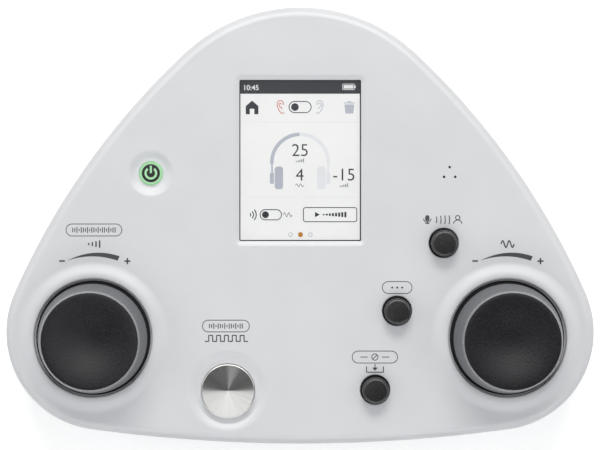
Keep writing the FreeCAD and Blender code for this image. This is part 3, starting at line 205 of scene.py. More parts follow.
def sheet_between(outer, holes, level):
    """Level sheet of triangles inside one loop and outside the others: a triangle whose three corners lie
    on the same hole fills that hole, because each hole is convex, so it is left out."""
    loops = [outer, *holes]
    points = np.vstack(loops)
    sizes = np.array([len(part) for part in loops])
    owner = np.repeat(np.arange(len(loops)), sizes)
    first = np.cumsum(sizes) - sizes
    index = np.arange(len(points))
    following = np.where(index + 1 == (first + sizes)[owner], first[owner], index + 1)
    edges = np.column_stack([index, following]).tolist()
    found, _, triangles, *_ = delaunay_2d_cdt(points.tolist(), edges, [], 0, 1e-7)
    triangles = np.array(triangles)
    owners = owner[triangles]
    filled = (owners[:, 0] > 0) & (owners[:, 0] == owners[:, 1]) & (owners[:, 1] == owners[:, 2])
    return np.column_stack([np.array(found), np.full(len(found), float(level))]), triangles[~filled]


def new_object(name, data):
    """An object of the scene that shows a mesh, a curve, a lamp or a camera."""
    item = bpy.data.objects.new(name, data)
    bpy.context.scene.collection.objects.link(item)
    return item


def make_piece(name, groups, finishes, sharp=35, place=on_panel):
    """A mesh object from groups of (points, faces) surfaces, one finish for each group. Meeting points are
    merged, faces turned outward, and edges sharper than the given angle kept crisp."""
    points, faces, finish_numbers = [], [], []
    for number, group in enumerate(groups):
        for part_points, part_faces in group:
            start = sum(len(part) for part in points)
            points.append(place(part_points))
            part_faces = [(np.asarray(face) + start).tolist() for face in part_faces]
            faces += part_faces
            finish_numbers += [number] * len(part_faces)
    mesh = bpy.data.meshes.new(name)
    mesh.from_pydata(np.vstack(points).tolist(), [], faces)
    mesh.polygons.foreach_set("material_index", finish_numbers)
    shape = bmesh.new()
    shape.from_mesh(mesh)
    bmesh.ops.remove_doubles(shape, verts=shape.verts, dist=2e-6)
    bmesh.ops.recalc_face_normals(shape, faces=shape.faces)
    shape.to_mesh(mesh)
    shape.free()
    mesh.shade_smooth()
    mesh.set_sharp_from_angle(angle=math.radians(sharp))
    for finish in finishes:
        mesh.materials.append(finish)
    return new_object(name, mesh)


def linear(colour, share=1.0):
    """Screen colour of 0 to 255 to linear light, times a share: ((c + 0.055) / 1.055) ^ 2.4."""
    light = ((np.array(colour, float) / 255 + 0.055) / 1.055) ** 2.4 * share
    return (*np.clip(light, 0, 1).tolist(), 1.0)


def new_finish(name):
    """A material: its node tree, its shader and the object's own coordinates."""
    finish = bpy.data.materials.new(name)
    finish.use_nodes = True
    tree = finish.node_tree
    place = tree.nodes.new("ShaderNodeTexCoord").outputs["Object"]
    return finish, tree, tree.nodes["Principled BSDF"], place


def constants(node, values):
    """Sets sockets of a node, by their names."""
    for socket, value in values.items():
        node.inputs[socket].default_value = value


def mottling(tree, place, size, detail=2.0):
    """Noise with features of a size in millimetres."""
    noise = tree.nodes.new("ShaderNodeTexNoise")
    constants(noise, {"Scale": 1000 / size, "Detail": detail})
    tree.links.new(place, noise.inputs["Vector"])
    return noise.outputs["Fac"]


def vary(tree, socket, factor, low, high, from_low=0.3, from_high=0.7):
    """Runs a socket for a number or a colour from low to high as the factor does."""
    span = tree.nodes.new("ShaderNodeMapRange")
    constants(span, {"From Min": from_low, "From Max": from_high})
    tree.links.new(factor, span.inputs["Value"])
    result = span.outputs["Result"]
    if isinstance(low, tuple):
        mix = tree.nodes.new("ShaderNodeMix")
        mix.data_type = "RGBA"
        tree.links.new(result, mix.inputs["Factor"])
        constants(mix, {"A": low, "B": high})
        result = mix.outputs["Result"]
    else:
        constants(span, {"To Min": low, "To Max": high})
    tree.links.new(result, socket)


def lift(tree, shader, height, depth):
    """Raises the surface by a height map, at most depth millimetres."""
    bump = tree.nodes.new("ShaderNodeBump")
    constants(bump, {"Strength": 0.6, "Distance": depth / 1000})
    tree.links.new(height, bump.inputs["Height"])
    tree.links.new(bump.outputs["Normal"], shader.inputs["Normal"])


def moulded(name, colour, roughness, grain=0.45, relief=0.02, mottle=0.02, gloss=0.5):
    """Moulded plastic or rubber: slow mottling of the colour, and a fine grain in relief and roughness."""
    finish, tree, shader, place = new_finish(name)
    slow, fine = mottling(tree, place, 22), mottling(tree, place, grain, 4.0)
    vary(tree, shader.inputs["Base Color"], slow, linear(colour, 1 - mottle), linear(colour, 1 + mottle))
    vary(tree, shader.inputs["Roughness"], fine, roughness - 0.06, roughness + 0.06)
    constants(shader, {"Specular IOR Level": gloss})
    lift(tree, shader, fine, relief)
    return finish


shell_plastic = moulded("shell_plastic", SHELL_WHITE, 0.42, gloss=0.6)
housing = housing_path()
dials = [circle_path(side * DIAL_X, DIAL_Y, 192) for side in (-1, 1)]
dish, bowl = circle_path(*STIMULUS, 128), circle_path(*POWER)
button_holes = [circle_path(*place, 64) for place in SMALL_BUTTONS.values()]
sound_holes = [circle_path(MICROPHONE[0] + 2.6 * math.cos(turn), MICROPHONE[1] + 2.6 * math.sin(turn), 24)
               for turn in np.radians((90, 210, 330))]
boot = circle_path(*MICROPHONE, 64)
bosses = [circle_path(side * x, y, 48) for x, y in HOUSING_SCREWS for side in (-1, 1)]
posts = [circle_path(side * x, y, 48) for x, y in BOARD_POSTS for side in (-1, 1)]
posts += [circle_path(x, y, 48) for x, y in MIDDLE_POSTS]
opening = frame_path(*WINDOW, WINDOW_CORNER, y=SCREEN_Y)
glass_seat = frame_path(GLASS[0] + 0.15, GLASS[1] + 0.15, 0.5, y=SCREEN_Y)

quarter = np.linspace(np.pi / 2, 0, 12)
edge = np.vstack([
    [(-EDGE_RADIUS - MARGIN, 0.0)],
    directions(quarter) * EDGE_RADIUS - EDGE_RADIUS,
    softened([(0, -8, 0), (0, SEAM, 0.3), (-WALL, SEAM, 0.2), (-WALL, -WALL, 0)]),
    [(-WALL - MARGIN, -WALL)],
])
well = np.vstack([
    [(COLLAR_FOOT + MARGIN, 0.0)],
    swell((COLLAR_FOOT, 0.0), (CREST, CREST_HEIGHT), 18),
    softened([(CREST, CREST_HEIGHT, 0), (WELL_RADIUS, CREST_HEIGHT, CREST - WELL_RADIUS),
              (WELL_RADIUS, -0.6, 0.1), (LIP_RADIUS, -0.6, 0.1), (LIP_RADIUS, -1.0, 0.05),
              (WELL_RADIUS, -1.0, 0), (WELL_RADIUS, WELL_FLOOR, 0.5), (3.65, WELL_FLOOR, 0.1),
              (3.65, WELL_FLOOR - WALL, 0), (WELL_RADIUS + WALL, WELL_FLOOR - WALL, 0.6),
              (WELL_RADIUS + WALL, -WALL, 0)], 9),
    [(WELL_RADIUS + WALL + MARGIN, -WALL)],
])
share = np.linspace(0, 1, 14)
dish_wall = np.vstack([
    [(DISH_RIM + MARGIN, 0.0)],
    np.column_stack([DISH_RIM + (DISH_FLOOR - DISH_RIM) * share, -DISH_DEPTH * share ** 1.7]),
    softened([(STIMULUS_HOLE, -DISH_DEPTH, 0.15), (STIMULUS_HOLE, DISH_UNDER, 0), (DISH_RIM, DISH_UNDER, 0),
              (DISH_RIM, -WALL, 0)]),
    [(DISH_RIM + MARGIN, -WALL)],
])
bowl_wall = np.vstack([
    [(BOWL_RIM + MARGIN, 0.0)],
    swell((BOWL_RIM, 0.0), (BOWL_FLOOR, BOWL_LEVEL), 12),
    softened([(POWER_HOLE, BOWL_LEVEL, 0.15), (POWER_HOLE, BOWL_UNDER, 0), (BOWL_BASE, BOWL_UNDER, 0),
              (BOWL_BASE, -WALL, 0)]),
    [(BOWL_BASE + MARGIN, -WALL)],
])
button_wall = softened([(BUTTON_HOLE + 0.4 + MARGIN, 0, 0), (BUTTON_HOLE, 0, 0.4), (BUTTON_HOLE, -WALL, 0),
                        (BUTTON_HOLE + MARGIN, -WALL, 0)])
sound_wall = softened([(0.7 + MARGIN, 0, 0), (0.5, 0, 0.2), (0.5, -2.2, 0), (0, -2.2, 0)])
boot_wall = stem(radius=5.55, end=-6.2, hole=4.35, bottom=-WALL)
boss_wall = stem(radius=3.5, end=SEAM, hole=1.53, bottom=-5.7)
post_wall = stem(radius=2.8, end=-12, hole=1.03, bottom=-6.7)
window_wall = softened([(2.3 + MARGIN, 0, 0), (1.9, 0, 0.4), (0.0, -0.6, 0.12), (0, WINDOW_UNDER, 0)])
seat_wall = [(0, WINDOW_UNDER), (0, -WALL)]

parts = [carried(path, wall) for paths, wall in (
    ([housing], edge), ([dish], dish_wall), ([bowl], bowl_wall), ([boot], boot_wall),
    ([opening], window_wall), ([glass_seat], seat_wall), (dials, well), (button_holes, button_wall),
    (sound_holes, sound_wall), (bosses, boss_wall), (posts, post_wall)) for path in paths]
parts.append(sheet_between(
    loop(housing, edge[0][0]),
    rims(dials, well) + rims([dish], dish_wall) + rims([bowl], bowl_wall) + rims(button_holes, button_wall)
    + rims(sound_holes, sound_wall) + rims([opening], window_wall), 0.0))
parts.append(sheet_between(
    loop(housing, edge[-1][0]),
    rims(dials, well, -1) + rims([dish], dish_wall, -1) + rims([bowl], bowl_wall, -1)
    + rims([boot], boot_wall) + rims(button_holes, button_wall, -1) + rims(bosses, boss_wall)
    + rims(posts, post_wall) + rims([glass_seat], seat_wall), -WALL))
parts.append(sheet_between(loop(glass_seat, 0), [loop(opening, 0)], WINDOW_UNDER))

top_shell = make_piece("top_shell_skin", [parts], [shell_plastic])
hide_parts("top_shell")
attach(top_shell, "housing")


# ------------ lower shell and battery cover
# The lower half of the housing and the screwed cover of its battery bay: the same white ABS, moulded with
# drafted sides. They keep the shapes of the frame.


def finish_node(node, finish):
    """Gives a finish to a node that keeps its shape."""
    materials = frame["nodes"][node].data.materials
    materials.clear()
    materials.append(finish)


for node in ("bottom_shell", "battery_cover"):
    finish_node(node, shell_plastic)


# ------------ printed markings
# Dark grey marks, screen-printed on the panel beside the controls: outlined pills, wedges with a minus and
# a plus over the dials, and small signs. Each is a flat plate of ink that stands 0.02 mm proud.

INK_HEIGHT, INK_DEPTH, LINE = 0.02, -0.03, 0.32
INK_GREY = (62, 64, 68)


def slab(outline, low=INK_DEPTH, high=INK_HEIGHT):
    """Flat plate: a polygon on two levels, with a wall of quads between them."""
    outline = np.asarray(outline, float)
    count = len(outline)
    points = np.vstack([np.column_stack([outline, np.full(count, level)]) for level in (low, high)])
    index = np.arange(count)
    following = np.roll(index, -1)
    wall = np.column_stack([index, following, following + count, index + count]).tolist()
    return points, wall + [index[::-1].tolist(), (index + count).tolist()]


def bar(x, y, half_x, half_y, corner=0.1, **levels):
    """Flat plate with round corners."""
    corner = min(corner, half_x * 0.999, half_y * 0.999)
    return slab(loop(frame_path(half_x, half_y, corner, x, y, 7), 0), **levels)


def outlined(path, width=LINE, low=INK_DEPTH, high=INK_HEIGHT):
    """Line of a width that runs around a path, as a closed rectangular section carried along it."""
    half = width / 2
    return carried(path, [(-half, low), (-half, high), (half, high), (half, low), (-half, low)])


def stroke(line, width=LINE, low=INK_DEPTH, high=INK_HEIGHT):
    """Line of a width along open points: each point is moved half a width to the left and to the right of
    the way there, on both levels, and the two ends are closed."""
    line = np.asarray(line, float)
    way = np.gradient(line, axis=0)
    way /= np.linalg.norm(way, axis=1, keepdims=True)
    left = np.column_stack([-way[:, 1], way[:, 0]]) * width / 2
    sides = [(line + left, low), (line + left, high), (line - left, high), (line - left, low)]
    points = np.stack([np.column_stack([side, np.full(len(line), level)]) for side, level in sides])
    index = np.arange(4 * len(line)).reshape(4, len(line))
    around = np.vstack([index, index[:1]])
    quads = np.stack([around[:-1, :-1], around[1:, :-1], around[1:, 1:], around[:-1, 1:]], axis=-1)
    ends = [index[::-1, 0].tolist(), index[:, -1].tolist()]
    return points.reshape(-1, 3), quads.reshape(-1, 4).tolist() + ends


def arc(x, y, radius, start, end, count=24):
    """Points of an arc between two angles in degrees."""
    return (x, y) + radius * directions(np.radians(np.linspace(start, end, count)))


def segment(*corners):
    """Points close together along straight lines between corners, so that a stroke keeps them crisp."""
    corners = np.array(corners, float)
    shares = np.array([0.02, 0.5, 0.98])[None, :, None]
    inner = corners[:-1, None] * (1 - shares) + corners[1:, None] * shares
    return np.vstack([corners[:1], inner.reshape(-1, 2), corners[-1:]])


def bars(x, y, width, heights, thick):
    """Row of upright bars centred on a line."""
    places = x + np.linspace(-width / 2, width / 2, len(heights))
    return [bar(place, y, thick / 2, height / 2, thick * 0.45) for place, height in zip(places, heights)]


def noise_sign(x, y, width, height):
    """Masking noise: bars of uneven height, from the absolute sine of 1.9 radians for each bar."""
    count = int(width / 0.78)
    return bars(x, y, width, height * (0.28 + 0.72 * np.abs(np.sin(1.9 * np.arange(count) + 0.7))), 0.4)


def wedge_sign(x, y):
    """Rising scale over a dial: a wedge between two shallow arcs, a minus before it and a plus after it."""
    share = np.linspace(0, 1, 28)
    lower = np.column_stack([-11.2 + 20.2 * share, -2.9 + 6.85 * share - 6.9 * share ** 2])
    upper = np.column_stack([-11.2 + 21 * share, -2.85 + 10.6 * share - 8.9 * share ** 2])
    wedge = np.vstack([lower, upper[::-1][:-1]]) + (x, y)
    return [slab(wedge), bar(x - 13.3, y - 3.05, 1.15, 0.33), bar(x + 12.9, y - 3.1, 1.25, 0.31),
            bar(x + 12.9, y - 3.1, 0.31, 1.25)]


marks = [outlined(frame_path(*size, size[1] - 0.01, x, y)) for x, y, size in (
    (-82.8, -1.2, (11.2, 2.4)), (38.9, -24.3, (5.95, 2.4)), (29.95, -52.2, (9.1, 2.4)),
    (-29.85, -39.75, (9.4, 2.35)))]
marks += wedge_sign(-82.3, -10.6) + wedge_sign(83.5, -10.6)
marks += noise_sign(-82.8, -1.2, 17.0, 2.5) + noise_sign(-29.85, -39.75, 13.2, 2.4)
marks += bars(-82.7, -6.85, 4.4, [1.0, 1.7, 2.4, 3.1], 0.6)
wave = np.linspace(0, 1, 40)
marks.append(stroke(np.column_stack([80.6 + 5.2 * wave, -6.85 + 1.35 * np.sin(4 * np.pi * wave)]), 0.54))
steps = np.array([(0, 0), (0.5, 0), (0.5, 1), (1, 1), (1, 0)])
train = np.vstack([steps + (number, 0) for number in range(5)] + [[(5.5, 0)]])
train = train * (3.15, 2.4) + (-38.3, -45.9)
marks.append(stroke(segment(*train[np.r_[True, np.any(np.diff(train, axis=0) != 0, axis=1)]]), 0.46))
marks += [bar(51.0, 3.5, 0.85, 1.25, 0.8), stroke(arc(51.0, 3.4, 1.5, 180, 360), 0.36),
          bar(51.0, 1.75, 0.18, 0.4, 0.05), bar(51.0, 1.4, 0.85, 0.18, 0.05)]
marks += [stroke(arc(51.6, 2.9, radius, -half, half), 0.4)
          for radius, half in ((3.2, 24), (4.9, 19), (6.6, 15), (8.3, 12))]
marks += [outlined(circle_path(63.2, 3.75, 32, 0.85), 0.38), stroke(arc(63.2, 1.1, 1.7, 8, 172), 0.38)]
marks += [bar(38.9 + step, -24.3, 0.42, 0.42, 0.4) for step in (-2.0, 0.0, 2.0)]
marks += [stroke(segment((26.6, -55.9), (26.6, -58.3), (33.4, -58.3), (33.4, -55.9)), 0.38),
          bar(30.0, -56.0, 0.2, 1.0, 0.05), slab([(30.0, -57.7), (31.15, -56.4), (28.85, -56.4)])]
marks += [outlined(circle_path(29.95, -52.2, 40, 1.25), 0.34),
          stroke(segment((29.1, -53.05), (30.8, -51.35)), 0.34)]
marks += [bar(x, -52.2, 1.5, 0.17, 0.1) for x in (25.6, 34.3)]

ink = moulded("panel_ink", INK_GREY, 0.45, grain=0.25, relief=0.004, mottle=0.08)
markings = make_piece("panel_markings", [marks], [ink])
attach(markings, "housing")


# ------------ dials
# Each dial is a moulded knob that turns in its well: a flange and a drawn-in neck, coloured near black as
# painted shade in the gap, under a tapered grey grip whose glossier crown edge is painted lighter, a
# painted highlight. A dished cap of soft black rubber is pressed into the crown.

CAP_EDGE, CAP_SEAT, CAP_LEVEL, CAP_HOLLOW, CROWN = 19.04, 13.7, 16.95, 2.3, 17.0
KNOB_POCKET, KNOB_BORE, KNOB_STEPS = 19.08, 3.03, 7
knob_profile = softened([
    (20.1, -1.8, 0.2), (22.9, -1.8, 0.2), (22.9, -1.25, 0.1), (20.9, -1.25, 0.1), (20.9, 3.4, 0.1),
    (21.95, 3.4, 0.12), (19.75, 16.2, 0.3), (19.3, CROWN, 0.2),
    (KNOB_POCKET, CROWN, 0.05), (KNOB_POCKET, CAP_SEAT, 0.1), (KNOB_BORE, CAP_SEAT, 0),
    (KNOB_BORE, 12.03, 0), (KNOB_BORE, -0.7, 0.1), (6.0, -0.7, 0.2), (6.0, 12.1, 0.3),
    (18.8, 12.1, 0.4), (20.1, 0.1, 0.2)], KNOB_STEPS)
knob_profile = np.vstack([knob_profile, knob_profile[:1]])
grip, crown, pocket = 5 * KNOB_STEPS, 6 * KNOB_STEPS, 9 * KNOB_STEPS - 1
share = np.linspace(1, 0, 28)
cap_profile = np.vstack([
    [(0, CAP_SEAT)],
    softened([(CAP_EDGE, CAP_SEAT, 0.1), (CAP_EDGE, CAP_LEVEL, 0.12), (18.8, CAP_LEVEL, 0.05)]),
    np.column_stack([18.6 * share, CAP_LEVEL - CAP_HOLLOW * (1 + np.cos(np.pi * share)) / 2]),
])
knob_grey = moulded("dial_grey", (103, 104, 108), 0.5, grain=0.6, relief=0.006, mottle=0.03)
# Flange and neck: coloured near black, painted shade that stands in for the shadow in the gap around the
# knob.
neck_painted_shade = moulded("neck_painted_shade", (20, 21, 23), 0.55, grain=0.6, relief=0.006, gloss=0.3)
# Crown edge: glossier than the grip, and also painted lighter, a painted highlight along the rim.
crown_painted_highlight = moulded("crown_painted_highlight", (138, 139, 142), 0.28, grain=0.6, relief=0.004, gloss=0.8)
cap_rubber = moulded("dial_rubber", (17, 17, 21), 0.34, grain=0.75, relief=0.12, mottle=0.08, gloss=0.42)
for side, path in zip(("left", "right"), dials):
    knob = make_piece(f"{side}_knob", [
        [carried(path, knob_profile[grip:crown + 1]), carried(path, knob_profile[pocket:])],
        [carried(path, knob_profile[crown:pocket + 1])], [carried(path, knob_profile[:grip + 1])]],
        [knob_grey, crown_painted_highlight, neck_painted_shade])
    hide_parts(f"{side}_knob_body")
    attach(knob, f"{side}_dial")
    cap = make_piece(f"{side}_cap", [[carried(path, cap_profile)]], [cap_rubber])
    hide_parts(f"{side}_knob_cap")
    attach(cap, f"{side}_dial")


# ------------ stimulus button
# A steel cap, turned on a lathe: its face is a shallow hollow cone with fine rings from the tool, inside a
# narrow rounded rim. It is guided in a sleeve under the dish.

STEEL = (0.76, 0.76, 0.75)
FACE_EDGE = 10.4
share = np.linspace(1, 0, 18)
steel_profile = np.vstack([
    softened([(0, -1.55, 0), (9.45, -1.55, 0.2), (9.45, -5.7, 0.1), (11.95, -5.7, 0.1), (11.95, -3.9, 0.1),
              (10.72, -3.9, 0.1), (10.72, 1.0, 0.26), (FACE_EDGE, 1.0, 0)]),
    np.column_stack([FACE_EDGE * share, 1.0 - 1.35 * (1 - share)])[1:],
])


def read(items, field, width=1, kind=float):
    """A field of every item of a mesh: a plain array, or rows of the given width."""
    values = np.empty(width * len(items), kind)
    items.foreach_get(field, values)
    return values.reshape(-1, width) if width > 1 else values


def turned_around(piece, x, y, radius):
    """UV map of a turned piece: how far around the axis, and how far out from it. A face that crosses the
    start is unrolled about its own middle, so that the map never jumps inside a face."""
    mesh = piece.data
    axis = on_panel([(x, y, 0.0)])[0]
    back = np.array([[1, 0, 0], [0, math.cos(TILT), math.sin(TILT)], [0, -math.sin(TILT), math.cos(TILT)]])
    corners = read(mesh.loops, "vertex_index", kind=int)
    counts = read(mesh.polygons, "loop_total", kind=int)
    local = ((read(mesh.vertices, "co", 3) - axis) @ back.T)[corners]
    middle = np.repeat((read(mesh.polygons, "center", 3) - axis) @ back.T, counts, axis=0)
    out = np.hypot(local[:, 0], local[:, 1])
    home = np.arctan2(middle[:, 1], middle[:, 0])
    turn = np.arctan2(local[:, 1], local[:, 0]) - home
    turn = np.where(out < 1e-6, 0, (turn + np.pi) % (2 * np.pi) - np.pi) + home
    uv = mesh.uv_layers.new(name="turned")
    uv.data.foreach_set("uv", np.column_stack([turn / (2 * np.pi), out * 1000 / radius]).ravel())


def computed(tree, operation, first, second=0.0):
    """A number worked out by a Math node from another one, and from a second one or a constant."""
    node = tree.nodes.new("ShaderNodeMath")
    node.operation = operation
    tree.links.new(first, node.inputs[0])
    if isinstance(second, float):
        node.inputs[1].default_value = second
    else:
        tree.links.new(second, node.inputs[1])
    return node.outputs["Value"]


def turned_steel(name, colour, roughness):
    """Steel turned on a lathe: rings of tool marks, and streaks from the middle outward that come from
    noise on the direction around the axis. The rings spread reflections across themselves."""
    finish, tree, shader, _ = new_finish(name)
    uv = tree.nodes.new("ShaderNodeUVMap")
    uv.uv_map = "turned"
    split = tree.nodes.new("ShaderNodeSeparateXYZ")
    tree.links.new(uv.outputs["UV"], split.inputs["Vector"])
    angle = computed(tree, "MULTIPLY", split.outputs["X"], 2 * math.pi)
    direction = tree.nodes.new("ShaderNodeCombineXYZ")
    for operation, axis in (("COSINE", "X"), ("SINE", "Y")):
        tree.links.new(computed(tree, operation, angle), direction.inputs[axis])
    streaks = mottling(tree, direction.outputs["Vector"], 1000 / 5.5, 5.0)
    radial = tree.nodes.new("ShaderNodeCombineXYZ")
    tree.links.new(split.outputs["Y"], radial.inputs["X"])
    rings = mottling(tree, radial.outputs["Vector"], 1000 / 90, 3.0)
    dark, light = ((*np.multiply(colour, share).tolist(), 1.0) for share in (0.965, 1.03))
    vary(tree, shader.inputs["Base Color"], streaks, dark, light)
    vary(tree, shader.inputs["Roughness"], streaks, roughness + 0.02, roughness - 0.02)
    constants(shader, {"Metallic": 1.0, "Anisotropic": 0.7, "Anisotropic Rotation": 0.25})
    tangent = tree.nodes.new("ShaderNodeTangent")
    tangent.direction_type = "UV_MAP"
    tangent.uv_map = "turned"
    tree.links.new(tangent.outputs["Tangent"], shader.inputs["Tangent"])
    lift(tree, shader, rings, 0.001)
    return finish


stimulus = make_piece("stimulus_cap", [[carried(circle_path(*STIMULUS, 160), steel_profile)]],
                      [turned_steel("turned_steel", STEEL, 0.14)], sharp=4)
turned_around(stimulus, *STIMULUS, STIMULUS_HOLE)
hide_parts("stimulus_button")
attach(stimulus, "stimulus_key")


# ------------ small buttons
# Three black push buttons of moulded plastic, with a rounded edge, a faintly domed top and a flange that
# keeps each of them under the panel.

BUTTON_RADIUS, SHOULDER, ROUNDING = 5.3, 3.2, 1.3
share, turn = np.linspace(1, 0, 10), np.linspace(0, np.pi / 2, 10)
small_profile = np.vstack([
    softened([(0, -4.0, 0), (7.2, -4.0, 0.2), (7.2, -2.8, 0.2), (BUTTON_RADIUS, -2.8, 0.1),
              (BUTTON_RADIUS, SHOULDER, 0)]),
    (BUTTON_RADIUS - ROUNDING, SHOULDER) + ROUNDING * directions(turn),
    np.column_stack([3.95 * share, 4.58 - 0.08 * share ** 2]),
])
button_plastic = moulded("button_plastic", (15, 15, 18), 0.28,
                         grain=0.5, relief=0.06, mottle=0.06, gloss=0.7)
for button, place in SMALL_BUTTONS.items():
    key = make_piece(f"{button}_cap", [[carried(circle_path(*place, 72), small_profile)]], [button_plastic])
    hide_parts(f"{button}_button")
    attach(key, f"{button}_key")


# ------------ power button
# A translucent green lens, lit from its switch, with a black disc let into it. The power sign is cut
# through the disc, so it glows too.

LENS_GREEN = (164, 217, 168)
LENS_TOP, LENS_RADIUS, DISC_SEAT, DISC_RADIUS = -0.7, 4.46, -1.0, 3.65


def glowing(name, colour, strength, unevenness=0.04, size=3.0, roughness=0.35):
    """Surface that gives its own light, slightly uneven over a size in millimetres."""
    finish, tree, shader, place = new_finish(name)
    patches = mottling(tree, place, size)
    vary(tree, shader.inputs["Emission Color"], patches,
         linear(colour, 1 - unevenness), linear(colour, 1 + unevenness))
    constants(shader, {"Base Color": linear(colour, 0.25), "Emission Strength": strength,
                       "Roughness": roughness})
    return finish


lens_profile = softened([
    (0, -5.4, 0), (6.2, -5.4, 0.2), (6.2, -4.2, 0.2), (LENS_RADIUS, -4.2, 0.1),
    (LENS_RADIUS, LENS_TOP, 0.25), (3.7, LENS_TOP, 0.1), (3.7, DISC_SEAT, 0), (0, DISC_SEAT, 0)])
lens = make_piece("power_ring", [[carried(circle_path(*POWER, 72), lens_profile)]],
                  [glowing("lens_glow", LENS_GREEN, 0.75)])
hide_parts("power_lens")
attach(lens, "power_key")
disc = make_piece("power_face", [[carried(circle_path(*POWER, 72), softened([
    (0, DISC_SEAT, 0), (DISC_RADIUS, DISC_SEAT, 0), (DISC_RADIUS, LENS_TOP, 0.06), (0, LENS_TOP, 0)]))]],
    [moulded("disc_plastic", (30, 31, 33), 0.3, grain=0.4, relief=0.004)])
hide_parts("power_disc")
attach(disc, "power_key")
levels = {"low": LENS_TOP - 0.02, "high": LENS_TOP + 0.02}
sign = make_piece("power_sign", [[
    stroke(arc(*POWER, 2.13, 126, 414, 48), 0.86, **levels),
    bar(POWER[0], POWER[1] + 1.5, 0.4, 1.5, 0.15, **levels)]], [glowing("sign_glow", LENS_GREEN, 0.8)])
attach(sign, "power_key")


# ------------ display
# A clear touch panel lies under the window's lip, and the LCD behind it is lit from within. A black mask is
# printed around the active area, and what the LCD shows lies just under the glass.

ACTIVE = (24.05, 32.0)
GLASS_TOP, GLASS_UNDER, LCD_FACE = -1.9, -3.2, -3.3
SCREEN_WHITE, SCREEN_DARK = (243, 244, 243), (30, 34, 43)


def clear_glass(name):
    """Clear glass with faint smears that roughen it here and there."""
    finish, tree, shader, place = new_finish(name)
    smears = mottling(tree, place, 14, 3.0)
    vary(tree, shader.inputs["Roughness"], smears, 0.02, 0.06)
    constants(shader, {"Transmission Weight": 1.0, "IOR": 1.3})
    return finish


def plate(half_x, half_y, low, high, bevel=0.15):
    """Thick plate around the display's middle, with its upper edge bevelled."""
    path = frame_path(half_x, half_y, 1.0, y=SCREEN_Y)
    sides = carried(path, [(-bevel, low), (0, low + bevel), (0, high - bevel), (-bevel, high)])
    lids = [sheet_between(loop(path, -bevel), [], level) for level in (low, high)]
    return [sides, *lids]


glass = make_piece("display_glass", [plate(*GLASS, GLASS_UNDER, GLASS_TOP)],
                   [clear_glass("touch_glass_clear")])
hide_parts("touch_panel")
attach(glass, "housing")

screen_light = glowing("screen_white", SCREEN_WHITE, 0.95, unevenness=0.012, size=18)
lcd_frame = moulded("lcd_frame", (60, 61, 64), 0.4)
active = frame_path(*ACTIVE, 0.3, y=SCREEN_Y)
lcd = make_piece("lcd_screen", [
    plate(GLASS[0] - 1, GLASS[1] - 1, -5.9, LCD_FACE),
    [slab(loop(active, 0.3), LCD_FACE - 0.2, LCD_FACE + 0.02)]], [lcd_frame, screen_light])
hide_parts("lcd_module")
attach(lcd, "housing")

rim = frame_path(GLASS[0] - 0.3, GLASS[1] - 0.3, 1.0, y=SCREEN_Y)
levels = (LCD_FACE + 0.03, LCD_FACE + 0.07)
mask_parts = [carried(path, [(0, level) for level in levels]) for path in (active, rim)]
mask_parts += [sheet_between(loop(rim, 0), [loop(active, 0)], level) for level in levels]
mask = make_piece("display_mask", [mask_parts], [moulded("mask_black", (20, 21, 23), 0.5, relief=0.002)])
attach(mask, "housing")


# ------------ what the display shows
# Signs and plain numbers, as the pixels of the LCD would draw them: a dark bar with a clock and a battery,
# a row of signs, a headset with three numbers, two switches, an outlined key and three page dots.

SIGN, OVER = {"low": 0.03, "high": 0.05}, {"low": 0.04, "high": 0.06}


def on_screen(points):
    """Millimetres from the middle of the picture on the LCD's face to metres of the frame."""
    return on_panel(points + np.array([0, SCREEN_Y + 0.2, LCD_FACE]))


def digits(text, x, y, height, weight=-0.004, low=SIGN["low"], high=SIGN["high"]):
    """Flat numbers of a height, centred on a place: the built-in letter shapes, with their outlines moved
    out by a weight, scaled to their own box."""
    curve = bpy.data.curves.new("digits", "FONT")
    curve.body = text
    curve.extrude = 0.02
    curve.offset = weight
    holder = new_object("digits", curve)
    bpy.context.view_layer.update()
    mesh = bpy.data.meshes.new_from_object(holder)
    points, faces = read(mesh.vertices, "co", 3), [list(face.vertices) for face in mesh.polygons]
    bpy.data.objects.remove(holder)
    lowest, highest = points.min(axis=0), points.max(axis=0)
    points = (points - (lowest + highest) / 2) * height / (highest[1] - lowest[1])
    level = np.where(points[:, 2] > 0, high, low)
    return np.column_stack([points[:, 0] + x, points[:, 1] + y, level]), faces


def switch_sign(x, y, half_x, half_y, line=0.36):
    """A sliding switch: a pill's outline with a filled knob at its left end."""
    return [outlined(frame_path(half_x, half_y, half_y - 0.01, x, y), line, **SIGN),
            bar(x - half_x + half_y + 0.1, y, 0.68 * half_y, 0.68 * half_y, 9, **SIGN)]


def smooth_line(controls, count=40):
    """Curve through control points: a parameter runs along them, and each coordinate eases between
    neighbours with the slope of the line that joins the points before and after."""
    controls = np.array(controls, float)
    padded = np.vstack([2 * controls[0] - controls[1], controls, 2 * controls[-1] - controls[-2]])
    position = np.linspace(0, len(controls) - 1 - 1e-9, count)
    number = position.astype(int)
    t = (position - number)[:, None]
    before, here, ahead, beyond = (padded[number + step] for step in range(4))
    return 0.5 * (2 * here + (ahead - before) * t + (2 * before - 5 * here + 4 * ahead - beyond) * t ** 2
                  + (3 * here - before - 3 * ahead + beyond) * t ** 3)


def ear_sign(x, y, mirror):
    """An ear: its outer edge and the fold inside it."""
    outer = np.array([(1.0, 0.9), (0.75, 2.15), (-0.35, 2.6), (-1.35, 1.9), (-1.5, 0.5), (-0.95, -0.9),
                      (-0.3, -2.0), (0.5, -2.6), (1.2, -2.1)])
    fold = np.array([(0.3, 1.1), (-0.3, 1.6), (-0.8, 1.0), (-0.55, 0.2), (0.1, -0.2), (0.25, -0.8)])
    return [stroke(smooth_line(line * (mirror, 1)) + (x, y), 0.34, **SIGN) for line in (outer, fold)]


